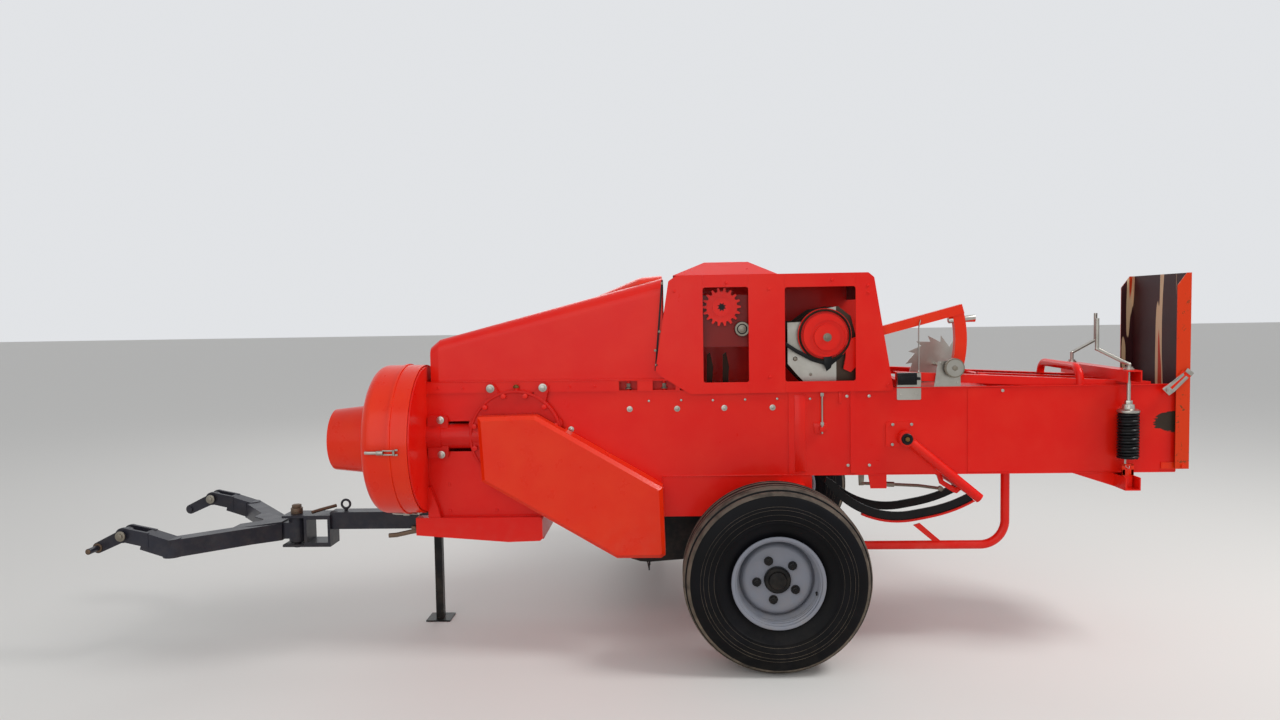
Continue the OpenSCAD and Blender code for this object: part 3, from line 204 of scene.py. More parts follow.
@dataclass(frozen=True)
class Finish:
    """A coat or bare surface: its colour, its shine, what dust and wear do to it, and zones of other colour,
    some of them painted shade.
    """

    name: str
    slot: str
    colour: str
    roughness: float = 0.4
    metallic: float = 0.0
    coat: float = 0.0
    fade: str = "#000000"
    fade_share: float = 0.0
    fade_mm: float = 180.0
    dust: str = "#B9A78C"
    dust_share: float = 0.25
    dust_top: float = 0.8
    chip: str = "#6E3B28"
    chip_share: float = 0.0
    grain_mm: float = 2.0
    grain_depth: float = 0.05
    ior: float = 1.5
    specular: float = 0.2
    zones: tuple[Zone, ...] = ()

    @cache
    def build(self) -> bpy.types.Material:
        """Make the material once and return it afterwards."""
        material = bpy.data.materials.new(self.name)
        material.use_nodes = True
        tree = material.node_tree
        shader = tree.nodes["Principled BSDF"]
        coords = add_node(tree, "TexCoord").outputs["Object"]
        colour = self.tint(tree, coords)
        tree.links.new(colour, shader.inputs["Base Color"])
        self.shine(tree, shader, coords)
        self.grain(tree, shader, coords)
        material.diffuse_color = linear(self.colour)
        return material

    def tint(self, tree: Tree, coords: Socket) -> Socket:
        """Colour with sun fading in patches, rubbed chips, and dust that gathers low down."""
        patches = Noise(self.fade_mm, 4).build(tree, coords)
        share = sum_of(tree, "MULTIPLY", ramp(tree, patches, *FADE_EDGE), self.fade_share)
        colour = mix(tree, share, linear(self.colour), linear(self.fade))
        if self.chip_share:
            spots = Noise(14, 6, 0.7).build(tree, coords)
            where = Noise(120, 2).build(tree, coords)
            both = sum_of(tree, "MULTIPLY", ramp(tree, spots, *CHIP_EDGE), ramp(tree, where, *CHIP_AREA))
            colour = mix(tree, sum_of(tree, "MULTIPLY", both, self.chip_share), colour, linear(self.chip))
        # Zones recolour parts of a surface: some for wear, some for painted shade.
        for zone in self.zones:
            colour = mix(tree, zone.mask(tree, coords), colour, linear(zone.colour))
        height = add_node(tree, "SeparateXYZ", {0: coords}).outputs["Z"]
        low = sum_of(tree, "SUBTRACT", 1.0, ramp(tree, height, 0.0, self.dust_top))
        cloud = ramp(tree, Noise(60, 6, 0.65).build(tree, coords), *DUST_EDGE)
        thick = sum_of(tree, "MULTIPLY", sum_of(tree, "ADD", low, DUST_FILM), cloud)
        veil = sum_of(tree, "MULTIPLY", thick, self.dust_share)
        return mix(tree, veil, colour, linear(self.dust))

    def shine(self, tree: Tree, shader: bpy.types.Node, coords: Socket) -> None:
        """Roughness that varies a little, and the clear top of a gloss coat."""
        smear = Noise(90, 5, 0.6).build(tree, coords)
        spread = sum_of(tree, "MULTIPLY_ADD", smear, ROUGHNESS_SPREAD)
        spread.node.inputs[2].default_value = self.roughness - ROUGHNESS_SPREAD / 2
        tree.links.new(spread, shader.inputs["Roughness"])
        shader.inputs["Metallic"].default_value = self.metallic
        shader.inputs["IOR"].default_value = self.ior
        shader.inputs["Specular IOR Level"].default_value = self.specular
        shader.inputs["Coat Weight"].default_value = self.coat
        shader.inputs["Coat Roughness"].default_value = COAT_ROUGHNESS

    def grain(self, tree: Tree, shader: bpy.types.Node, coords: Socket) -> None:
        """Fine bump: orange peel of sprayed paint, cast skin, plating or rubber."""
        fine = Noise(self.grain_mm, 4).build(tree, coords)
        bump = add_node(tree, "Bump", {"Height": fine, "Strength": self.grain_depth,
                                       "Distance": self.grain_mm * MM})
        tree.links.new(bump.outputs["Normal"], shader.inputs["Normal"])


@dataclass(frozen=True)
class ChuteFinish(Finish):
    """Dark rusted sheet whose old paint ran down it in cream and orange streaks."""

    cream: str = "#CDB08C"
    ember: str = "#B93412"
    outside: str = "#D5380F"

    def tint(self, tree: Tree, coords: Socket) -> Socket:
        """Rust with upright streaks, cream at their rims and orange inside, and red paint outside."""
        base = super().tint(tree, coords)
        streaks = Noise(74, 2, 0.5, (1.0, 1.0, 0.085)).build(tree, coords)
        pale = mix(tree, ramp(tree, streaks, *CREAM_EDGE), base, linear(self.cream))
        inner = mix(tree, ramp(tree, streaks, *EMBER_EDGE), pale, linear(self.ember))
        spots = ramp(tree, Noise(20, 5, 0.65).build(tree, coords), *RUST_EDGE)
        where = ramp(tree, Noise(150, 2).build(tree, coords), *RUST_AREA)
        outer = mix(tree, sum_of(tree, "MULTIPLY", spots, where), linear(self.outside), linear(self.chip))
        # Lowest and highest corner of the left cheek, the right cheek and the back.
        for low, high in (((1890, -290, 0), (1980, -272.5, 2400)),
                          ((1890, 272.5, 0), (1980, 290, 2400)),
                          ((1963, -290, 0), (1980, 290, 2400))):
            inner = mix(tree, Zone(low, high, self.outside).mask(tree, coords), inner, outer)
        return inner


# Sprayed machinery enamel: a saturated coat with faint orange peel and chalky, sun-faded patches.
RED_ENAMEL = Finish("red sprayed enamel", "red_paint", "#DD1206", 0.32, coat=0.12, fade="#E22A16",
                    fade_share=0.4, dust_share=0.16, grain_mm=6)
# The same enamel on the chamber wall, rubbed to dark steel by the chute's strap.
WALL_ENAMEL = replace(RED_ENAMEL, name="red enamel rubbed through",
                      zones=(Rub((1800, -262, 1040), (2040, -250, 1152), "#35291F"),))
# The same enamel on the knotter housing, with its inside painted a dark red as painted shade.
SHADED_HOUSING_ENAMEL = replace(RED_ENAMEL, name="red enamel with painted shade inside",
                         zones=(Zone((-700, -262.5, 1282), (720, 262.5, 1796), "#3C0906"),))
# A newer, more orange batch of the same enamel, on guards that are unbolted often.
ORANGE_ENAMEL = Finish("orange sprayed enamel", "orange_paint", "#E22805", 0.3, coat=0.16, fade="#E83E12",
                       fade_share=0.35, dust_share=0.14, grain_mm=6)
# The same paint over a sand casting, whose rough skin dulls the shine.
CAST_ENAMEL = Finish("red enamel on casting", "cast_red", "#D0140A", 0.4, coat=0.12, fade="#B81208",
                     fade_share=0.5, dust_share=0.2, chip_share=0.4, grain_mm=3, grain_depth=0.3)
# Blue-black chassis paint, scuffed to brown where chains and pins rub.
SLATE_PAINT = Finish("slate paint on steel", "slate_paint", "#22222B", 0.36, coat=0.15, fade="#31323C",
                     fade_share=0.6, chip="#7A5A44", chip_share=0.6, dust_share=0.16, grain_mm=4,
                     grain_depth=0.12)
# Silver-grey enamel on pressed steel, with road dirt on its dish.
RIM_PAINT = Finish("grey enamel on pressed rim", "rim_paint", "#82858F", 0.34, coat=0.15, fade="#787C86",
                   fade_share=0.5, dust_share=0.25, dust="#A08F78", grain_mm=4)
# Black satin paint: deep, with soft highlights.
BLACK_PAINT = Finish("black paint on steel", "black_paint", "#08080A", 0.34, fade="#17171A", fade_share=0.6,
                     dust_share=0.08, grain_mm=3, grain_depth=0.1)
# Vulcanised, carbon-black rubber: deep black with a soft sheen on the sidewall.
RUBBER = Finish("vulcanised rubber", "tyre_rubber", "#070709", 0.5, fade="#0D0D12", fade_share=0.8,
                dust="#6E6557", dust_share=0.05, dust_top=0.5, grain_mm=2, grain_depth=0.15, ior=1.45,
                specular=0.14)
# The same rubber where it runs on the ground or scuffs, filmed with pale road dust.
DUSTY_RUBBER = Finish("dusty tread rubber", "tyre_rubber", "#5F564D", 0.8, fade="#38342F", fade_share=0.9,
                      fade_mm=70, dust_share=0.3, dust_top=0.9, grain_mm=3, grain_depth=0.3, ior=1.45)
# Electroplated zinc: bright, faintly cloudy.
ZINC = Finish("zinc plated steel", "zinc", "#B9B6AE", 0.34, metallic=1.0, fade="#8F8C82", fade_share=0.7,
              dust_share=0.08, grain_mm=5, specular=0.5)
# Zinc plate inside the knotter, with painted shade that is darkest away from the windows.
SHADED_KNOTTER_ZINC = replace(ZINC, name="zinc plated steel with painted shade",
                       zones=(Zone((-700, -300, 1200), (20, 300, 1900), "#2A1D19"),
                              Zone((20, -184, 1200), (720, 300, 1900), "#3A302B"),
                              Zone((330, -300, 1200), (720, -184, 1900), "#4A3D35")))
# Zinc that has dulled and browned with use.
WORN_ZINC = Finish("dulled zinc plating", "zinc", "#8C877C", 0.45, metallic=0.9, fade="#6A5B49",
                   fade_share=0.6, dust_share=0.15, grain_mm=4, grain_depth=0.12, specular=0.5)
# Oiled roller chain, dark and a little brown.
CHAIN_STEEL = Finish("oiled chain steel", "worn_steel", "#33291F", 0.4, metallic=0.7, fade="#1D1814",
                     fade_share=0.7, dust_share=0.1, grain_mm=3, grain_depth=0.1)
# Bare forged steel that has rusted brown and is polished where it turns.
WORN_STEEL = Finish("worn rusty steel", "worn_steel", "#5B483A", 0.5, metallic=0.5, fade="#8A7866",
                    fade_share=0.7, dust_share=0.15, grain_mm=4, grain_depth=0.25)
# Chute: its outside still red and blotched with rust, its inside rusted dark and streaked.
CHUTE_STEEL = ChuteFinish("rusted chute sheet", "worn_steel", "#35171A", 0.42, fade="#431F20",
                          fade_share=0.6, dust_share=0.06, grain_mm=5, grain_depth=0.15, chip="#7A3E1C",
                          chip_share=0.9)
# Enamel of the knotter's drive: bright in front, with painted shade on its back plate.
DRIVE_ENAMEL = replace(RED_ENAMEL, name="red enamel on knotter drive with painted shade",
                       zones=(Zone((-420, -205.8, 1380), (-60, 262, 1900), "#7E0C06"),))
# Cast brass of the oil cap, dulled by oil.
BRASS = Finish("oiled brass", "zinc", "#8C6A3A", 0.42, metallic=0.9, fade="#5E4526", fade_share=0.6,
               dust_share=0.1, grain_mm=3, grain_depth=0.15, specular=0.5)


class Shape:
    """A mesh in the making: bmesh operators add forms to it, and done() hands it over."""

    def __init__(self) -> None:
        """Start with an empty mesh."""
        self.bm = bmesh.new()

    def soften(self, edges: list, bevel_mm: float) -> None:
        """Round edges off, unless the width is 0."""
        if bevel_mm:
            bmesh.ops.bevel(self.bm, geom=edges, offset=bevel_mm * MM, segments=2, profile=0.5,
                            affect="EDGES", material=-1, clamp_overlap=True)

    def block(self, low: Point, high: Point, bevel_mm: float = 1.5) -> "Shape":
        """Add a box between two corners.

        Args:
            low: Lowest corner in working mm.
            high: Highest corner in working mm.
            bevel_mm: Rounding of its edges.

        Returns:
            This shape.
        """
        a, b = at(*low), at(*high)
        size = b - a
        matrix = Matrix.Translation((a + b) / 2) @ Matrix.Diagonal((size.x, size.y, size.z, 1.0))
        made = bmesh.ops.create_cube(self.bm, size=1.0, matrix=matrix)
        self.soften(list({e for v in made["verts"] for e in v.link_edges}), bevel_mm)
        return self

    def flank(self, side: int, low: Point, high: Point, bevel_mm: float = 1.5) -> "Shape":
        """Add a box, given by its corners on the right, to the left (-1) or the right (1)."""
        near, far = sorted((side * low[1], side * high[1]))
        return self.block((low[0], near, low[2]), (high[0], far, high[2]), bevel_mm)

    def bar(self, start: Point, end: Point, radius: float, sides: int = 24, bevel_mm: float = 0.0,
            tip: float | None = None) -> "Shape":
        """Add a round or many-sided bar between two points.

        Args:
            start: One end in working mm.
            end: The other end in working mm.
            radius: Radius in mm.
            sides: Faces around it, 6 for a hexagon.
            bevel_mm: Rounding of its end edges.
            tip: Radius at the far end, where it tapers.

        Returns:
            This shape.
        """
        a, b = at(*start), at(*end)
        turn = (b - a).to_track_quat("Z", "Y").to_matrix().to_4x4()
        made = bmesh.ops.create_cone(self.bm, cap_ends=True, segments=sides, radius1=radius * MM,
                                     radius2=(radius if tip is None else tip) * MM, depth=(b - a).length,
                                     matrix=Matrix.Translation((a + b) / 2) @ turn)
        rims = {e for v in made["verts"] for e in v.link_edges if any(len(f.verts) > 4 for f in e.link_faces)}
        self.soften(list(rims), bevel_mm)
        return self

    def sweep(self, path: list[Point], radius: float, sides: int = 12) -> "Shape":
        """Add a rod bent along a path.

        Args:
            path: Points in working mm.
            radius: Radius in mm.
            sides: Faces around it.

        Returns:
            This shape.
        """
        curve = bpy.data.curves.new("path", "CURVE")
        curve.dimensions = "3D"
        curve.bevel_depth = radius * MM
        curve.bevel_resolution = max(1, sides // 4 - 1)
        curve.use_fill_caps = True
        spline = curve.splines.new("POLY")
        spline.points.add(len(path) - 1)
        for point, place in zip(spline.points, path):
            point.co = (*at(*place), 1.0)
        holder = bpy.data.objects.new("path", curve)
        mesh = bpy.data.meshes.new_from_object(holder)
        self.bm.from_mesh(mesh)
        bpy.data.objects.remove(holder)
        bpy.data.curves.remove(curve)
        bpy.data.meshes.remove(mesh)
        return self

    def plate(self, outline: list[Pair], y0: float, y1: float, bevel_mm: float = 0.8) -> "Shape":
        """Add a flat plate whose outline lies in the side view.

        Args:
            outline: X and Z of its corners in working mm.
            y0: Sideways place of one face.
            y1: Sideways place of the other face.
            bevel_mm: Rounding of its edges.

        Returns:
            This shape.
        """
        verts = [self.bm.verts.new(at(x, y0, z)) for x, z in outline]
        face = self.bm.faces.new(verts)
        grown = bmesh.ops.extrude_face_region(self.bm, geom=[face])["geom"]
        moved = [g for g in grown if isinstance(g, bmesh.types.BMVert)]
        bmesh.ops.translate(self.bm, verts=moved, vec=Vector((0, (y1 - y0) * MM, 0)))
        self.soften(list({e for v in verts + moved for e in v.link_edges}), bevel_mm)
        return self

    def lathe(self, profile: list[Pair], centre: Point, axis: Axis, steps: int = 96,
              closed: bool = True) -> "Shape":
        """Spin a profile about an axis.

        Args:
            profile: Radius and place along the axis of each corner, in mm.
            centre: A point of the axis in working mm.
            axis: The axis.
            steps: Faces around it.
            closed: Whether the profile is a closed ring.

        Returns:
            This shape.
        """
        along = Vector(axis.value)
        side = along.orthogonal().normalized()
        middle = at(*centre)
        verts = [self.bm.verts.new(middle + side * (r * MM) + along * (d * MM)) for r, d in profile]
        pairs = list(zip(verts, verts[1:])) + ([(verts[-1], verts[0])] if closed else [])
        edges = [self.bm.edges.new(pair) for pair in pairs]
        bmesh.ops.spin(self.bm, geom=verts + edges, cent=middle, axis=along, angle=math.tau, steps=steps,
                       use_merge=True)
        return self

    def done(self, name: str, finish: Finish, body: str = "body", replaces: tuple[str, ...] = ()) -> None:
        """Close the mesh, dress it, and let it ride on its body.

        Args:
            name: The piece's name.
            finish: The finish that it gets.
            body: The body that it moves with.
            replaces: CAD nodes that it stands for.
        """
        bmesh.ops.remove_doubles(self.bm, verts=self.bm.verts, dist=MERGE)
        bmesh.ops.recalc_face_normals(self.bm, faces=self.bm.faces)
        mesh = bpy.data.meshes.new(name)
        self.bm.to_mesh(mesh)
        self.bm.free()
        mesh.shade_smooth()
        mesh.set_sharp_from_angle(angle=math.radians(SHARP_DEG))
        mesh.materials.append(finish.build())
        piece = bpy.data.objects.new(name, mesh)
        bpy.context.scene.collection.objects.link(piece)
        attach(piece, body)
        if replaces:
            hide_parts(*replaces)
        LOG.info("%s: %d faces on %s", name, len(mesh.polygons), body)


class Head(Enum):
    """Kinds of fastener: head height and washer as shares of the head's radius, and sides."""

    HEX = (0.62, 0.0, 6)
    HEX_WASHER = (0.62, 1.55, 6)
    DOME = (0.5, 0.0, 16)
    DOME_WASHER = (0.35, 1.8, 16)


def seat(place: Point, way: Vector) -> Vector | None:
    """The surface that carries a fastener at a place, in working mm, or None where there is none."""
    graph = bpy.context.evaluated_depsgraph_get()
    start = at(*place) + way * RAY_START
    found, spot, *_ = bpy.context.scene.ray_cast(graph, start, -way, distance=RAY_LENGTH)
    return Vector(((spot.x + ORIGIN_X) / MM, (spot.y + ORIGIN_Y) / MM, spot.z / MM)) if found else None


@dataclass(frozen=True)
class Row:
    """A row of like fasteners: head, radius, the way they face, and their places in working mm."""

    head: Head
    radius: float
    axis: Axis
    places: tuple[Point, ...]

    @classmethod
    def flat(cls, head: Head, radius: float, y: float, sides: tuple[int, ...],
             spots: list[Pair]) -> list["Row"]:
        """One row for each side, at the distance y from the chamber's middle."""
        return [cls(head, radius, Axis.LEFT if s < 0 else Axis.RIGHT, tuple((x, s * y, z) for x, z in spots))
                for s in sides]

    def add(self, shape: Shape) -> None:
        """Add every fastener of the row to a shape."""
        height, washer, sides = self.head.value
        way = Vector(self.axis.value)
        for place in self.places:
            foot = seat(place, way)
            if foot is None:
                LOG.warning("no surface under a fastener at %s", place)
                continue
            if washer:
                top = foot + way * WASHER_MM
                shape.bar(tuple(foot), tuple(top), self.radius * washer, 20, 0.5)
                foot = top
            top = foot + way * (self.radius * height)
            tip = None if sides == 6 else self.radius * DOME_TIP
            shape.bar(tuple(foot), tuple(top), self.radius, sides, self.radius * HEAD_BEVEL, tip)


@dataclass
class Fasteners:
    """Bolts, nuts and screws of the body, by finish."""

    wall: float = 255.0
    flange_y: float = 298.0
    flange_ring: float = 203.0

    def build(self) -> None:
        """Make the zinc and the painted fasteners."""
        zinc, painted = Shape(), Shape()
        for row in self.zinc_rows():
            row.add(zinc)
        for row in self.painted_rows():
            row.add(painted)
        zinc.done("fasteners_zinc", ZINC)
        painted.done("fasteners_painted", RED_ENAMEL)

    def zinc_rows(self) -> list[Row]:
        """Plated bolts of the walls, lugs, plates and pivots."""
        small = [(-580, 1226), (-424, 1228), (-272, 1226), (-117, 1227), (36, 1229), (193, 1227)]
        large = [(-673, 1188), (-444, 1187), (-217, 1188), (14, 1187), (-959, 1093)]
        late = [(368, 1237), (473, 1237), (372, 904), (474, 904), (1102, 1255)]
        # Head, radius, distance from the chamber's middle, sides, and X and Z of each fastener.
        table = (
            (Head.DOME, 7, self.wall, LEFT, small),
            (Head.DOME, 7, self.wall, RIGHT, [spot for spot in small if spot[0] > 60 or spot[0] < -430]),
            (Head.DOME_WASHER, 8, self.wall, LEFT, large),
            (Head.DOME_WASHER, 8, self.wall, RIGHT, [(-673, 1188), (-959, 1093), (240, 1188)]),
            (Head.HEX, 8, self.wall, SIDES, late),
            (Head.HEX_WASHER, 13, 290, LEFT, [(-1342, 1299), (-1088, 1300)]),
            (Head.HEX_WASHER, 12, 286, LEFT, [(-1590, 1149), (-1589, 981)]),
            (Head.HEX, 10, 285, LEFT, [(-1020, 1126), (-1430, 1126)]),
            (Head.HEX, 6, 258, LEFT, [(625, 1243), (696, 1244)]),
            (Head.HEX, 8, 261, SIDES, [(584, 1099), (673, 1099), (582, 1003)]),
            (Head.HEX, 6, self.wall, LEFT, [(796, 1296), (892, 1296), (812, 1390)]),
            (Head.HEX_WASHER, 8, 297, LEFT, [(1858, 1250)]),
            (Head.HEX, 8, 1620, RIGHT, [(-380, 900), (-120, 900), (-10, 1000), (-10, 1210), (-420, 1190)]),
        )
        return [row for line in table for row in Row.flat(*line)]

    def painted_rows(self) -> list[Row]:
        """Painted screws of the panels, the gearbox flange and the beams."""
        turns = [math.radians(a) for a in range(15, 375, 30)]
        ring = [(GEAR_AXLE[0] + self.flange_ring * math.cos(a), GEAR_AXLE[1] + self.flange_ring * math.sin(a))
                for a in turns]
        panel = [(-451, 1752), (-202, 1787), (-1, 1754), (0, 1335), (299, 1793), (469, 1729), (467, 1763),
                 (560, 1290)]
        sheet = [(x, z) for x in (-1560, -1330, -1100, -860, -620) for z in (700, 830)
                 if not (z > 800 and x > -1000)]
        # Head, radius, distance from the chamber's middle, sides, and X and Z of each fastener.
        table = (
            (Head.HEX, 13, self.flange_y, LEFT, ring),
            (Head.DOME, 8, 269, SIDES, panel),
            (Head.DOME, 8, self.wall, SIDES, sheet),
            (Head.DOME, 7, 263, LEFT, [(x, 1302) for x in (-1600, -1480, -960, -840)]),
            (Head.DOME, 7, 263, RIGHT, [(x, 1302) for x in (-1600, -1300, -960, -840)]),
        )
        return [row for line in table for row in Row.flat(*line)]


@dataclass
class Wheel:
    """One road wheel: pressed rim, tyre, nuts, hub and valve."""

    name: str
    body: str
    x: float
    y: float
    side: int
    axle_z: float = 430.0
    studs: int = 5
    stud_ring: float = 94.0
    first_stud: float = 42.5
    valve_turn: float = -18.5

    def build(self) -> None:
        """Make the pieces of this wheel."""
        centre = (self.x, self.y, self.axle_z)
        axis = Axis.LEFT if self.side < 0 else Axis.RIGHT
        tyre = Shape().lathe(self.casing(), centre, axis, 128)
        tyre.done(f"{self.name}_tyre_casing", RUBBER, self.body, (f"{self.name}_tyre",))
        self.dusty(centre, axis)
        rim = Shape().lathe(self.well(), centre, axis, 128).lathe(self.disc(), centre, axis, 128)
        rim.done(f"{self.name}_pressed_rim", RIM_PAINT, self.body, (f"{self.name}_rim",))
        self.nuts()
        profile = [(0, -60), (36, -60), (40, -56), (58, 40), (61, 60), (62, 63), (60, 77), (56, 81),
                   (43, 82), (41, 88), (38, 91), (26, 93), (0, 94)]
        hub = Shape().lathe(profile, centre, axis, 64, False)
        hub.bar(self.spot(26, 30, 92), self.spot(26, 30, 95), 5, 16, 1.0)
        hub.done(f"{self.name}_hub", BLACK_PAINT, self.body)
        self.valve()

    def spot(self, radius: float, turn: float, out: float) -> Point:
        """A place by its radius, its turn in degrees up from the rear, and its distance outboard."""
        a = math.radians(turn)
        return (self.x + radius * math.cos(a), self.y + self.side * out, self.axle_z + radius * math.sin(a))

    def casing(self) -> list[Pair]:
        """Outline of the tyre: sidewall, rounded shoulder and ribbed tread."""
        half = [(430, 0), (430, 5), (418, 7), (418, 11), (430, 13), (430, 44), (417, 46), (417, 53),
                (430, 55), (429, 66), (427, 80), (424, 90), (420, 95), (413, 97), (409, 101), (413, 104),
                (412, 111), (406, 121), (398, 128), (388, 133), (376, 137), (360, 141.5), (346, 144),
                (330, 145), (315, 145), (300, 143.5), (282, 139.5), (280, 141), (277, 141), (274, 137.6),
                (256, 131), (248, 128), (236, 121.5), (228, 117), (220, 112), (208, 109), (200, 108),
                (198, 105), (198, 99), (230, 107), (290, 124), (345, 126), (398, 108), (404, 60), (404, 0)]
        return half + [(r, -d) for r, d in reversed(half[1:-1])]

    def dusty(self, centre: Point, axis: Axis) -> None:
        """Pale dust on the tread's ribs and on the fine rings of the sidewalls."""
        shape = Shape()
        bands = ([(430.6, 15), (430.6, 42), (427, 42), (427, 15)],
                 [(430.6, 57), (429.6, 66), (427.6, 80), (424.6, 90),
                  (420.5, 95), (416, 95), (420, 84), (425, 57)],
                 [(413.5, 104.5), (412.6, 111), (406.6, 121.4), (398.4, 128.6), (396, 126), (408, 106)])
        rings = [[(r - 1.4, d - 1.5), (r, d + 1.3), (r + 1.4, d - 1.5)] for r, d in
                 ((291, 141.2), (316, 144.6), (338, 144.4), (352, 142.8))]
        for half in (*bands, *rings):
            shape.lathe(half, centre, axis, 96)
            shape.lathe([(r, -d) for r, d in reversed(half)], centre, axis, 96)
        shape.done(f"{self.name}_dusty_bands", DUSTY_RUBBER, self.body)

    def well(self) -> list[Pair]:
        """Section of the rim: flanges, bead seats, fine gutter rings and the drop centre."""
        half = [(197, 128), (206, 131), (211, 130), (213, 126), (212, 121), (205, 113), (198, 107),
                (197, 60), (178, 42), (178, 0)]
        inner = [(172, 0), (172, 41), (175, 46), (185, 58), (189, 61), (190, 70), (185.5, 72), (185.5, 76),
                 (190, 78), (190, 88), (185.5, 90), (185.5, 94), (191, 97), (192, 106), (188, 109),
                 (188, 113), (195, 117), (195, 124)]
        whole = inner + half
        return [(r, d) for r, d in whole] + [(r, -d) for r, d in reversed(whole) if d]

    def disc(self) -> list[Pair]:
        """Section of the pressed disc: flat face, rolled shoulder and deep flange."""
        return [(56, 48), (134, 48), (146, 44), (156, 34), (164, 16), (174, 8), (177, 8), (177, 22),
                (170, 27), (163, 42), (158, 52), (151, 58), (143, 60.5), (124, 60.5), (122, 60), (56, 60)]

    def nuts(self) -> None:
        """Five dark wheel nuts on their studs."""
        shape = Shape()
        for k in range(self.studs):
            turn = self.first_stud + 360 / self.studs * k
            stud = [self.spot(self.stud_ring, turn, out) for out in (58, 63, 81, 87)]
            shape.bar(stud[0], stud[1], 21, 28, 0.8)
            shape.bar(stud[1], stud[2], 18, 6, 2.2)
            shape.bar(stud[2], stud[3], 8, 16, 1.0)
        shape.done(f"{self.name}_wheel_nuts", BLACK_PAINT, self.body)

    def valve(self) -> None:
        """The rubber valve stem that leans out of the rim."""
        foot, neck, tip = (self.spot(r, self.valve_turn, d) for r, d in ((187, 70), (182, 92), (180, 108)))
        stem = Shape().bar(foot, neck, 7, 16, 1.0, 5).bar(neck, tip, 4.6, 14, 1.0)
        stem.done(f"{self.name}_valve", BLACK_PAINT, self.body)


@dataclass
class Springs:
    """Helical tension springs with their plugs, rods and hooks."""

    x: float = 1665.0
    y: float = 311.0
    low: float = 932.0
    high: float = 1158.0
    turns: int = 16
    per_turn: int = 22
    coil_r: float = 43.0
    wire_r: float = 6.3

    def build(self) -> None:
        """Make both springs and what passes through them."""
        coils, fittings, hooks = Shape(), Shape(), Shape()
        steps = self.turns * self.per_turn
        for s in SIDES:
            y = s * self.y
            path = []
            for i in range(steps + 1):
                a = math.tau * i / self.per_turn
                z = self.low + (self.high - self.low) * i / steps
                path.append((self.x + self.coil_r * math.cos(a), y + self.coil_r * math.sin(a), z))
            coils.sweep(path, self.wire_r, 8)
            coils.bar((self.x, y, self.low), (self.x, y, self.high), 34, 24)
            fittings.lathe([(0, 1150), (49, 1150), (50, 1154), (49, 1160), (38, 1166), (28, 1168),
                            (27, 1184), (25, 1188), (0, 1188)], (self.x, y, 0), Axis.UP, 40, False)
            fittings.bar((self.x, y, 1186), (self.x, y, 1206), 17, 6, 1.5)
            fittings.bar((self.x, y, 1180), (self.x, y, 1292), 9, 20)
            fittings.bar((self.x, y, 1349), (self.x, y, 1356), 24, 24, 1.0)
            fittings.sweep([(self.x - 11, y, 942), (self.x - 13, y, 915), (self.x - 10, y, 894),
                            (self.x + 4, y, 884), (self.x + 8, y, 896)], 5, 10)
            # Cheeks, crosspiece and foot of the hook: X from the spring's middle, then Z, low and high.
            for x0, x1, z0, z1 in ((-27, -12, 852, 906), (12, 27, 852, 906), (-27, 27, 898, 908),
                                   (-27, 27, 850, 882)):
                hooks.block((self.x + x0, y - 5, z0), (self.x + x1, y + 5, z1), 2.0)
        coils.done("spring_coils", BLACK_PAINT, replaces=("tension_springs",))
        fittings.done("spring_fittings", ZINC)
        hooks.done("spring_hooks", ORANGE_ENAMEL)


@dataclass
class DriveEnd:
    """Trim at the gearbox, the flywheel guard and the front of the body; the drum's axis is Y and Z."""

    drum: Pair = (-235.0, 1055.0)
    drum_r: float = 366.0

    def build(self) -> None:
        """Make the filler cap, the toggle latches, the flange lip and the lever."""
        cap = Shape().bar((-1219, -277, 1299), (-1219, -277, 1311), 15, 6, 2.0)
        cap.bar((-1219, -277, 1311), (-1219, -277, 1315), 8, 16, 1).done("filler_cap", BRASS)
        self.latches()
        lip = Shape().lathe([(211, 289), (224, 289), (224, 294), (221, 296), (214, 296), (211, 294)],
                            (GEAR_AXLE[0], 0, GEAR_AXLE[1]), Axis.LEFT, 128)
        lip.done("gearbox_flange_lip", CAST_ENAMEL)
        lever = Shape().sweep([(-1930, -58, 530), (-1890, -58, 533), (-1815, -58, 549), (-1788, -58, 553)],
                              12, 14)
        lever.block((-1812, -64, 545), (-1790, -42, 578), 2.0)
        lever.done("drawbar_lever", WORN_STEEL, "drawbar_body")

    def skin(self, turn: float, x: float, out: float, side: float = 0.0) -> Point:
        """A point above the drum's skin, at a turn in degrees from its top."""
        c, s = math.cos(math.radians(turn)), math.sin(math.radians(turn))
        r = self.drum_r + out
        return (x, self.drum[0] + r * s + side * c, self.drum[1] + r * c - side * s)

    def latches(self) -> None:
        """Toggle latches that hold the flywheel guard to its rear ring, at three places around it."""
        zinc = Shape()
        for a in (-92, 40, 178):
            zinc.sweep([self.skin(a, -1855, 4), self.skin(a, -1838, 8), self.skin(a, -1800, 9)], 8, 12)
            zinc.bar(self.skin(a, -1802, 10), self.skin(a, -1770, 10), 11, 12, 2.0)
            for side in (-9, 9):
                hook = [self.skin(a, x, out, side) for x, out in ((-1775, 8), (-1745, 10), (-1722, 8))]
                zinc.sweep(hook, 3.5, 8)
            zinc.bar(self.skin(a, -1724, 8, -13), self.skin(a, -1724, 8, 13), 6, 12)
            for side in (-11, 11):
                zinc.bar(self.skin(a, -1718, 5, side), self.skin(a, -1706, 3, side), 5, 10)
        zinc.done("toggle_latches", ZINC)


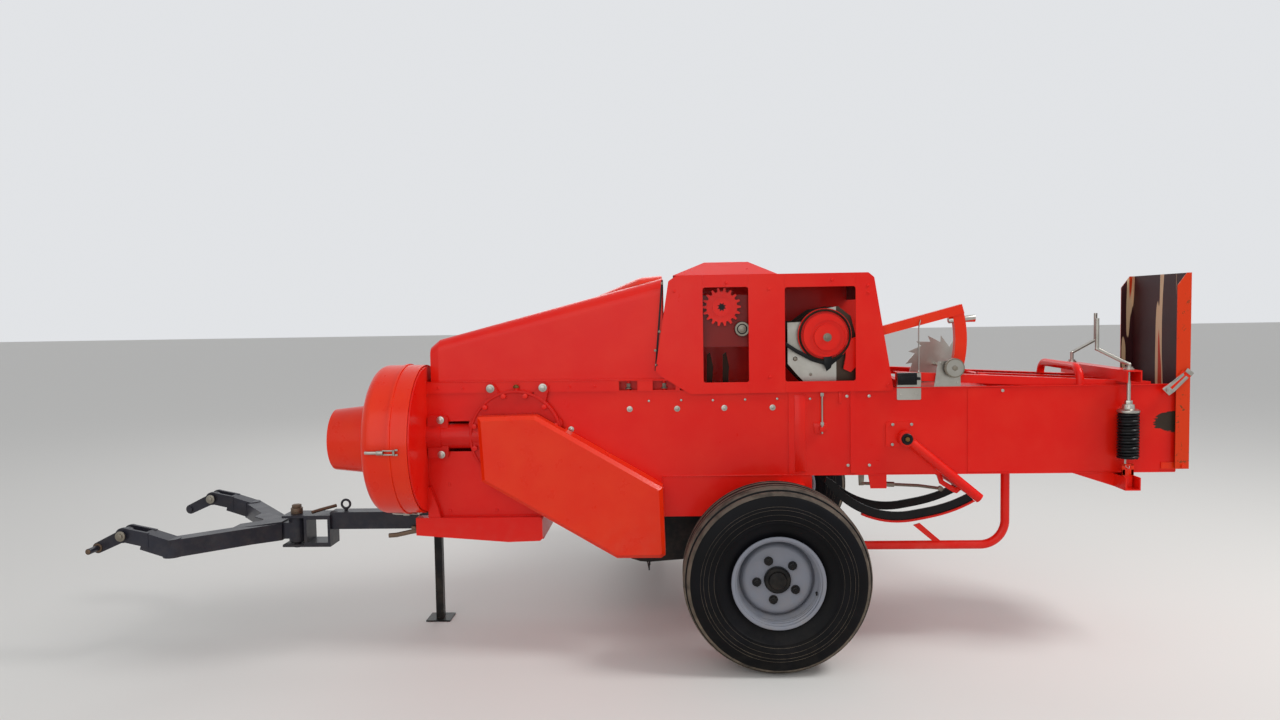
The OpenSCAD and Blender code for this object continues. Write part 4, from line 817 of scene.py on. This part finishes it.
@dataclass
class KnotterBay:
    """What shows through the two windows of the knotter housing; centres are X and Z."""

    bearing: Pair = (-127.0, 1566.0)
    bore: Pair = (-223.0, 1673.0)
    sprocket: Pair = (270.0, 1530.0)
    sprocket_r: float = 120.0
    chain_links: int = 34

    def build(self) -> None:
        """Make the bore's painted shade, the bearing, the strap, the nuts, the cam arm's trim, and black
        sheets of painted shade under the hood and in its seam.
        """
        dark = Shape()
        middle = (self.bearing[0], 0, self.bearing[1])
        # A black star-shaped plate: painted shade in the hollow of the splined bore.
        tips = [(math.tau * (i + 0.5 * k) / 8, 22 if k else 13) for i in range(8) for k in (0, 1)]
        teeth = [(self.bore[0] + r * math.cos(a), self.bore[1] + r * math.sin(a)) for a, r in tips]
        dark.plate(teeth, -239.2, -238, 0.0)
        dark.lathe([(20, -235), (36, -235), (37, -233), (36, -246), (31, -248), (27, -246), (22, -248),
                    (20, -247)], middle, Axis.RIGHT, 48)
        guide = [(83, 1500), (134, 1466), (211, 1425), (281, 1401), (351, 1443), (356, 1430), (300, 1384),
                 (281, 1366), (262, 1388), (205, 1405), (130, 1446), (83, 1478)]
        dark.plate(guide, -229, -225)
        dark.plate([(262, 1432), (300, 1432), (304, 1395), (296, 1372), (276, 1356), (264, 1392)], -236, -229)
        # Black sheets on both sides: painted shade in the openings under the hood.
        for s in SIDES:
            dark.flank(s, (-724, 210, 1278), (-433, 213, 1326), 0.0)
        # A black strip: painted shade in the seam between the hood and the housing.
        dark.plate([(-549, 1372), (-541, 1372), (-503, 1806), (-511, 1806)], -262, -257, 0.5)
        dark.done("knotter_black_parts_and_painted_shade", BLACK_PAINT)
        nuts = Shape()
        for row in (Row(Head.HEX_WASHER, 13, Axis.LEFT, ((-127, -246, 1566), (278, -252, 1520))),
                    Row(Head.DOME, 12, Axis.LEFT, ((132, -190, 1416),)),
                    Row(Head.HEX, 8, Axis.LEFT, ((206, -190, 1340), (-250, -150, 1425)))):
            row.add(nuts)
        nuts.lathe([(25, -246.6), (34, -246.6), (34, -248), (25, -248)], middle, Axis.RIGHT, 40)
        for x in (-678, -505):
            nuts.bar((x, -238, 1290), (x, -238, 1312), 10, 6, 2.0)
            nuts.bar((x, -238, 1286), (x, -238, 1290), 17, 24, 1.0)
        for x, z in ((-524, 1560), (-540, 1400), (-508, 1790), (-545, 1470)):
            nuts.bar((x, -264, z), (x, -269, z), 7, 6, 1.0)
        nuts.done("knotter_nuts", WORN_ZINC)
        self.chain()

    def chain(self) -> None:
        """Side plates of the roller chain around the sprocket."""
        links = Shape()
        turns = [math.tau * i / self.chain_links for i in range(self.chain_links + 1)]
        pins = [(self.sprocket[0] + self.sprocket_r * math.cos(a),
                 self.sprocket[1] + self.sprocket_r * math.sin(a)) for a in turns]
        for i, ((x0, z0), (x1, z1)) in enumerate(zip(pins, pins[1:])):
            y = -229.5 if i % 2 else -227.5
            links.bar((x0, y, z0), (x1, y, z1), 5.2, 8)
            links.bar((x0, -231.5, z0), (x0, -226, z0), 3, 10)
        links.done("knotter_chain", CHAIN_STEEL)


@dataclass
class Metering:
    """Counter, thin rod and roller of the bale-length gear; the roller's centre is X and Z."""

    centre: Pair = (869.0, 1367.0)
    roller_r: float = 45.0
    knurls: int = 72
    knurl_mm: float = 1.6

    def build(self) -> None:
        """Make the counter's dark face, the rod and the knurled roller."""
        face = Shape().block((601, -291, 1290), (692, -289, 1347), 1.0)
        face.block((613, -294, 1303), (680, -291, 1329), 1.0)
        face.bar((692, -272, 1318), (712, -272, 1318), 7, 16, 1.0)
        face.done("counter_face", BLACK_PAINT)
        rod = Shape().sweep([(707, -262, 1344), (707, -262, 1560), (712, -258, 1580), (720, -240, 1592),
                             (722, -225, 1600)], 3.2, 10)
        rod.bar((707, -268, 1352), (707, -256, 1352), 5, 12, 0.8)
        rod.done("trip_rod", ZINC)
        Shape().bar((858, -217, 1590), (984, -217, 1603), 14, 28, 2.0).done("trip_sleeve", ZINC)
        roller = Shape()
        x, z = self.centre
        knurl = [(self.roller_r + (self.knurl_mm if i % 2 else 0), math.tau * i / self.knurls)
                 for i in range(self.knurls)]
        roller.plate([(x + r * math.cos(a), z + r * math.sin(a)) for r, a in knurl], -291, -271, 0.0)
        roller.bar((x, -300, z), (x, -291, z), 13, 6, 1.5)
        roller.done("metering_roller", WORN_ZINC, "metering")


@dataclass
class NeedleLinkage:
    """Strap, turnbuckle rod and wall rod of the needle gear; the needles' pivot is X and Z."""

    pivot: Pair = (640.0, 1035.0)

    def build(self) -> None:
        """Make the linkage pieces."""
        strap = Shape().plate([(800, 866), (822, 872), (842, 815), (900, 780), (920, 790), (926, 770),
                               (905, 752), (890, 756), (822, 800)], -206, -196, 1.5)
        strap.done("yoke_strap", RED_ENAMEL, "needle_body")
        rings, nuts = Shape(), Shape()
        x, z = self.pivot
        for s, axis in ((-1, Axis.LEFT), (1, Axis.RIGHT)):
            rings.lathe([(0, 300), (27, 300), (27, 317), (24, 320), (15, 320), (13, 317), (0, 317)],
                        (x, 0, z), axis, 48, False)
            nuts.bar((x, s * 317, z), (x, s * 326, z), 12, 6, 1.5)
            nuts.bar((x, s * 326, z), (x, s * 332, z), 6, 16, 1.0)
        rings.done("needle_pivot_rings", BLACK_PAINT, "needle_body")
        nuts.done("needle_pivot_nuts", BRASS, "needle_body")
        rod = Shape().sweep([(476, -50, 776), (600, -50, 771), (760, -50, 762), (870, -50, 746)], 8, 12)
        rod.bar((560, -50, 773), (640, -50, 769), 13, 6, 1.5)
        rod.bar((870, -60, 746), (870, -40, 746), 13, 20, 1.0)
        rod.plate([(464, 766), (488, 766), (492, 862), (460, 862)], -55, -45)
        rod.done("needle_rod", WORN_ZINC)
        wall = Shape().sweep([(247, -276, 1257), (247, -276, 1060)], 5, 10)
        wall.bar((247, -276, 1100), (247, -276, 1116), 9, 6, 1)
        wall.bar((247, -276, 1240), (247, -276, 1256), 9, 6, 1)
        wall.done("wall_rod", ZINC)
        lug = Shape().plate([(208, 1109), (272, 1109), (272, 1082), (240, 1056), (214, 1060)], -264, -255)
        lug.block((236, -284, 1070), (258, -264, 1092), 2.0)
        lug.done("wall_lug", RED_ENAMEL)


@dataclass
class HitchTrim:
    """Pins, bolt heads and handles of the hitch; the pins' places are X and Z."""

    fork_pin: Pair = (-3075.0, 640.0)
    link_pin: Pair = (-3217.0, 574.0)
    arm_y: float = 425.0

    def build(self) -> None:
        """Make the trim of the fork, the links and the drawbar."""
        fork = Shape()
        x, z = self.fork_pin
        for s in SIDES:
            y = s * self.arm_y
            # Two washers and a nut: sideways place of both faces from the arm's middle, radius, sides.
            for y0, y1, radius, sides in ((-66, -58, 24, 28), (58, 66, 24, 28), (-72, -66, 14, 6)):
                fork.bar((x, y + y0, z), (x, y + y1, z), radius, sides, 1.5)
        x, z = self.link_pin
        for side, name in ((-1, "left_hitch_link"), (1, "right_hitch_link")):
            y = side * self.arm_y
            ends = Shape().bar((x, y + side * 12, z), (x, y + side * 18, z), 22, 28, 1.5)
            tip = y + side * 87
            ends.bar((x, tip, z), (x, tip + side * 6, z), 13.8, 24, 3.0, 10)
            ends.done(f"{name}_pin_trim", WORN_STEEL, name)
        fork.done("fork_pin_heads", WORN_ZINC, "fork")
        head = Shape().bar((-2430, 0, 667), (-2430, 0, 684), 24, 6, 2.5)
        head.bar((-2430, 0, 637), (-2430, 0, 667), 30, 28, 1.5)
        head.sweep([(-2330, -52, 652), (-2300, -20, 658), (-2236, 40, 668)], 9, 10)
        head.done("coupling_head_trim", WORN_STEEL, "drawbar_body")


@dataclass
class PanelTrim:
    """Folded edges of the sheet metal, and the chute's holding strap."""

    def build(self) -> None:
        """Make the beam flanges, the wall's ribs and foot flange, and the strap."""
        red = Shape()
        # Flanges of the top beam and of the wall's top and foot: corners on the right, and rounding.
        flanges = (((-1660, 258, 1329), (-430, 266, 1334), 1.0),
                   ((600, 250, 1272), (1905, 262, 1277), 1.0),
                   ((-519, 255, 856), (1912, 258, 862), 0.8))
        for s in SIDES:
            for low, high, bevel_mm in flanges:
                red.flank(s, low, high, bevel_mm)
        for s in SIDES:
            red.flank(s, (118, 250, 874), (172, 261, 1246), 3.0)
        red.block((330, -263, 1203), (343, -254, 1258), 1.5)
        red.done("folded_edges", RED_ENAMEL)
        strap = Shape()
        # X and Z of the corners of the strap's plates: both ends, then the bars between them.
        rings = ([(1861, 1224), (1830, 1256), (1856, 1274), (1884, 1240)],
                 [(1934, 1336), (1963, 1313), (1975, 1328), (1945, 1352)],
                 [(1884, 1240), (1874, 1251), (1938, 1316), (1950, 1306)],
                 [(1856, 1274), (1891, 1298), (1934, 1336), (1922, 1322)],
                 [(1856, 1274), (1866, 1262), (1930, 1318), (1925, 1330)])
        for ring in rings:
            strap.plate(ring, -291, -287, 0.8)
        strap.done("chute_strap", ZINC)


@dataclass
class PickupTines:
    """Spring tines of the reel: each with its coils on a bar and a bent tip."""

    x: float = -610.0
    z: float = 525.0
    first_y: float = 350.0
    pitch: float = 104.0
    count: int = 13
    rows: int = 4
    bar_r: float = 180.0
    coil_r: float = 14.0
    coil_rise: float = 2.6
    setback: float = 22.0

    def build(self) -> None:
        """Make the rows of tines."""
        shape = Shape()
        # Out across the bar, out from the shaft and along the shaft: two coils and the bent tine.
        tine = [(self.coil_r * math.cos(a), self.bar_r + self.coil_r * math.sin(a), self.coil_rise * n)
                for n, a in enumerate(math.radians(d) for d in range(0, 765, 45))]
        tine += [(16, 205, 44), (12, 250, 44), (2, 296, 44)]
        for k in range(self.rows):
            c, s = math.cos(math.radians(90 * k)), math.sin(math.radians(90 * k))
            for i in range(self.count):
                y = self.first_y + i * self.pitch
                path = [(self.x + u * c + w * s, y - self.setback + d, self.z - u * s + w * c) for u, w,
                        d in tine]
                shape.sweep(path, 3.0, 6)
        shape.done("pickup_tine_springs", BLACK_PAINT, "reel")


@dataclass
class Dressing:
    """Gives each CAD node its finish, also where a piece of this script stands for it."""

    by_finish: tuple[tuple[Finish, tuple[str, ...]], ...] = (
        (WALL_ENAMEL, ("left_wall",)),
        (SHADED_HOUSING_ENAMEL, ("knotter_housing",)),
        (RED_ENAMEL, ("right_wall", "chamber_plates", "front_body", "bottom_pan", "front_bulkhead",
                      "top_beams", "under_frame", "axle", "front_hood", "plunger", "feed_chamber",
                      "twine_box", "twine_lid", "needle_yoke", "needle_guard", "tension_frame")),
        (DRIVE_ENAMEL, ("knotter_drive",)),
        (CAST_ENAMEL, ("gearbox",)),
        (ORANGE_ENAMEL, ("drive_guard", "flywheel_guard", "hood_hump", "trip_arm", "chute_hinges")),
        (SLATE_PAINT, ("flywheel", "drawbar", "hitch_fork", "left_link", "right_link")),
        (RIM_PAINT, ("left_rim", "right_rim")),
        (BLACK_PAINT, ("wind_guard", "pickup_frame", "pickup_reel", "needles", "tension_springs",
                       "jack_leg")),
        (RUBBER, ("left_tyre", "right_tyre", "gauge_wheel")),
        (SHADED_KNOTTER_ZINC, ("knotter_frame",)),
        (ZINC, ("tension_cranks", "star_wheel", "meter_bracket")),
        (CHUTE_STEEL, ("chute",)),
    )

    def dress(self) -> None:
        """Put the finishes on the nodes."""
        for finish, nodes in self.by_finish:
            for name in nodes:
                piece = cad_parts[name]
                piece.data.materials.clear()
                piece.data.materials.append(finish.build())
            LOG.info("%s on %d nodes", finish.name, len(nodes))


@dataclass
class Studio:
    """Pale floor, soft lamps and the camera at the photograph's angle."""

    eye: Point = (0.187, -5.3909, 1.6726)
    pitch: float = 3.186
    yaw: float = 2.153
    roll: float = -0.948
    focal_px: float = 926.5
    photo_px: int = 1280
    sensor_mm: float = 36.0
    far: float = 200.0
    floor_half: float = 60.0
    aim: Point = (0.0, 0.0, 0.8)
    glow: Pair = (-3.0, 2.0)

    def build(self) -> None:
        """Make the floor, the world, the lamps and the camera."""
        self.floor()
        self.world()
        self.lamps()
        self.camera()
        bpy.context.scene.view_settings.view_transform = "Standard"

    def floor(self) -> None:
        """A wide pale floor under the machine."""
        bm = bmesh.new()
        bmesh.ops.create_grid(bm, x_segments=2, y_segments=2, size=self.floor_half)
        mesh = bpy.data.meshes.new("floor")
        bm.to_mesh(mesh)
        bm.free()
        floor = bpy.data.objects.new("floor", mesh)
        bpy.context.scene.collection.objects.link(floor)
        material = bpy.data.materials.new("pale studio floor")
        material.use_nodes = True
        shader = material.node_tree.nodes["Principled BSDF"]
        shader.inputs["Base Color"].default_value = linear("#DEDCD8")
        shader.inputs["Roughness"].default_value = 0.85
        mesh.materials.append(material)

    def world(self) -> None:
        """An even surround: glow gives it a strength of 0.65 where it lights and 0.90 where it is seen."""
        world = bpy.data.worlds.new("studio")
        bpy.context.scene.world = world
        world.use_nodes = True
        tree = world.node_tree
        background = tree.nodes["Background"]
        background.inputs["Color"].default_value = linear("#EDEFF2")
        path = add_node(tree, "LightPath").outputs
        seen = sum_of(tree, "MAXIMUM", path["Is Camera Ray"], path["Is Glossy Ray"])
        seen = sum_of(tree, "MAXIMUM", seen, path["Is Transmission Ray"])
        tree.links.new(ramp(tree, seen, *self.glow), background.inputs["Strength"])

    def lamps(self) -> None:
        """A key lamp from the upper rear, a broad fill from the camera's side and a lamp from behind."""
        # Name, place, size in metres and power in watts.
        table = (("key", (5.5, -2.2, 6.5), 2.2, 270.0),
                 ("fill", (-2.0, -8.5, 4.0), 7.0, 170.0),
                 ("back", (-1.0, 6.5, 5.5), 4.0, 90.0))
        for name, place, size, power in table:
            lamp = bpy.data.lights.new(name, "AREA")
            lamp.size = size
            lamp.energy = power
            piece = bpy.data.objects.new(name, lamp)
            piece.location = place
            piece.rotation_euler = (Vector(self.aim) - Vector(place)).to_track_quat("-Z", "Y").to_euler()
            bpy.context.scene.collection.objects.link(piece)

    def camera(self) -> None:
        """The camera that was fitted to the photograph."""
        pitch, yaw, roll = (math.radians(a) for a in (self.pitch, self.yaw, self.roll))
        forward = Vector((-math.sin(yaw) * math.cos(pitch), math.cos(yaw) * math.cos(pitch),
                          -math.sin(pitch)))
        right = forward.cross(Vector((0, 0, 1))).normalized()
        up = right.cross(forward)
        level = Matrix((right, up, -forward)).transposed()
        data = bpy.data.cameras.new("camera")
        data.sensor_width = self.sensor_mm
        data.lens = self.focal_px / self.photo_px * data.sensor_width
        data.clip_end = self.far
        camera = bpy.data.objects.new("camera", data)
        camera.matrix_world = Matrix.Translation(self.eye) @ level.to_4x4() @ Matrix.Rotation(roll, 4, "Z")
        bpy.context.scene.collection.objects.link(camera)
        bpy.context.scene.camera = camera


def main() -> None:
    """Build the classes in order."""
    logging.basicConfig(level=logging.INFO, format="%(name)s: %(message)s")
    Dressing().dress()
    for part in (Fasteners(), Springs(), DriveEnd(), KnotterBay(), Metering(), NeedleLinkage(), HitchTrim(),
                 PanelTrim(), PickupTines(), Wheel("left", "left_wheel", 0.0, -470.0, -1),
                 Wheel("right", "right_wheel", 300.0, 1840.0, 1)):
        part.build()
    Studio().build()


if __name__ == "__main__":
    main()
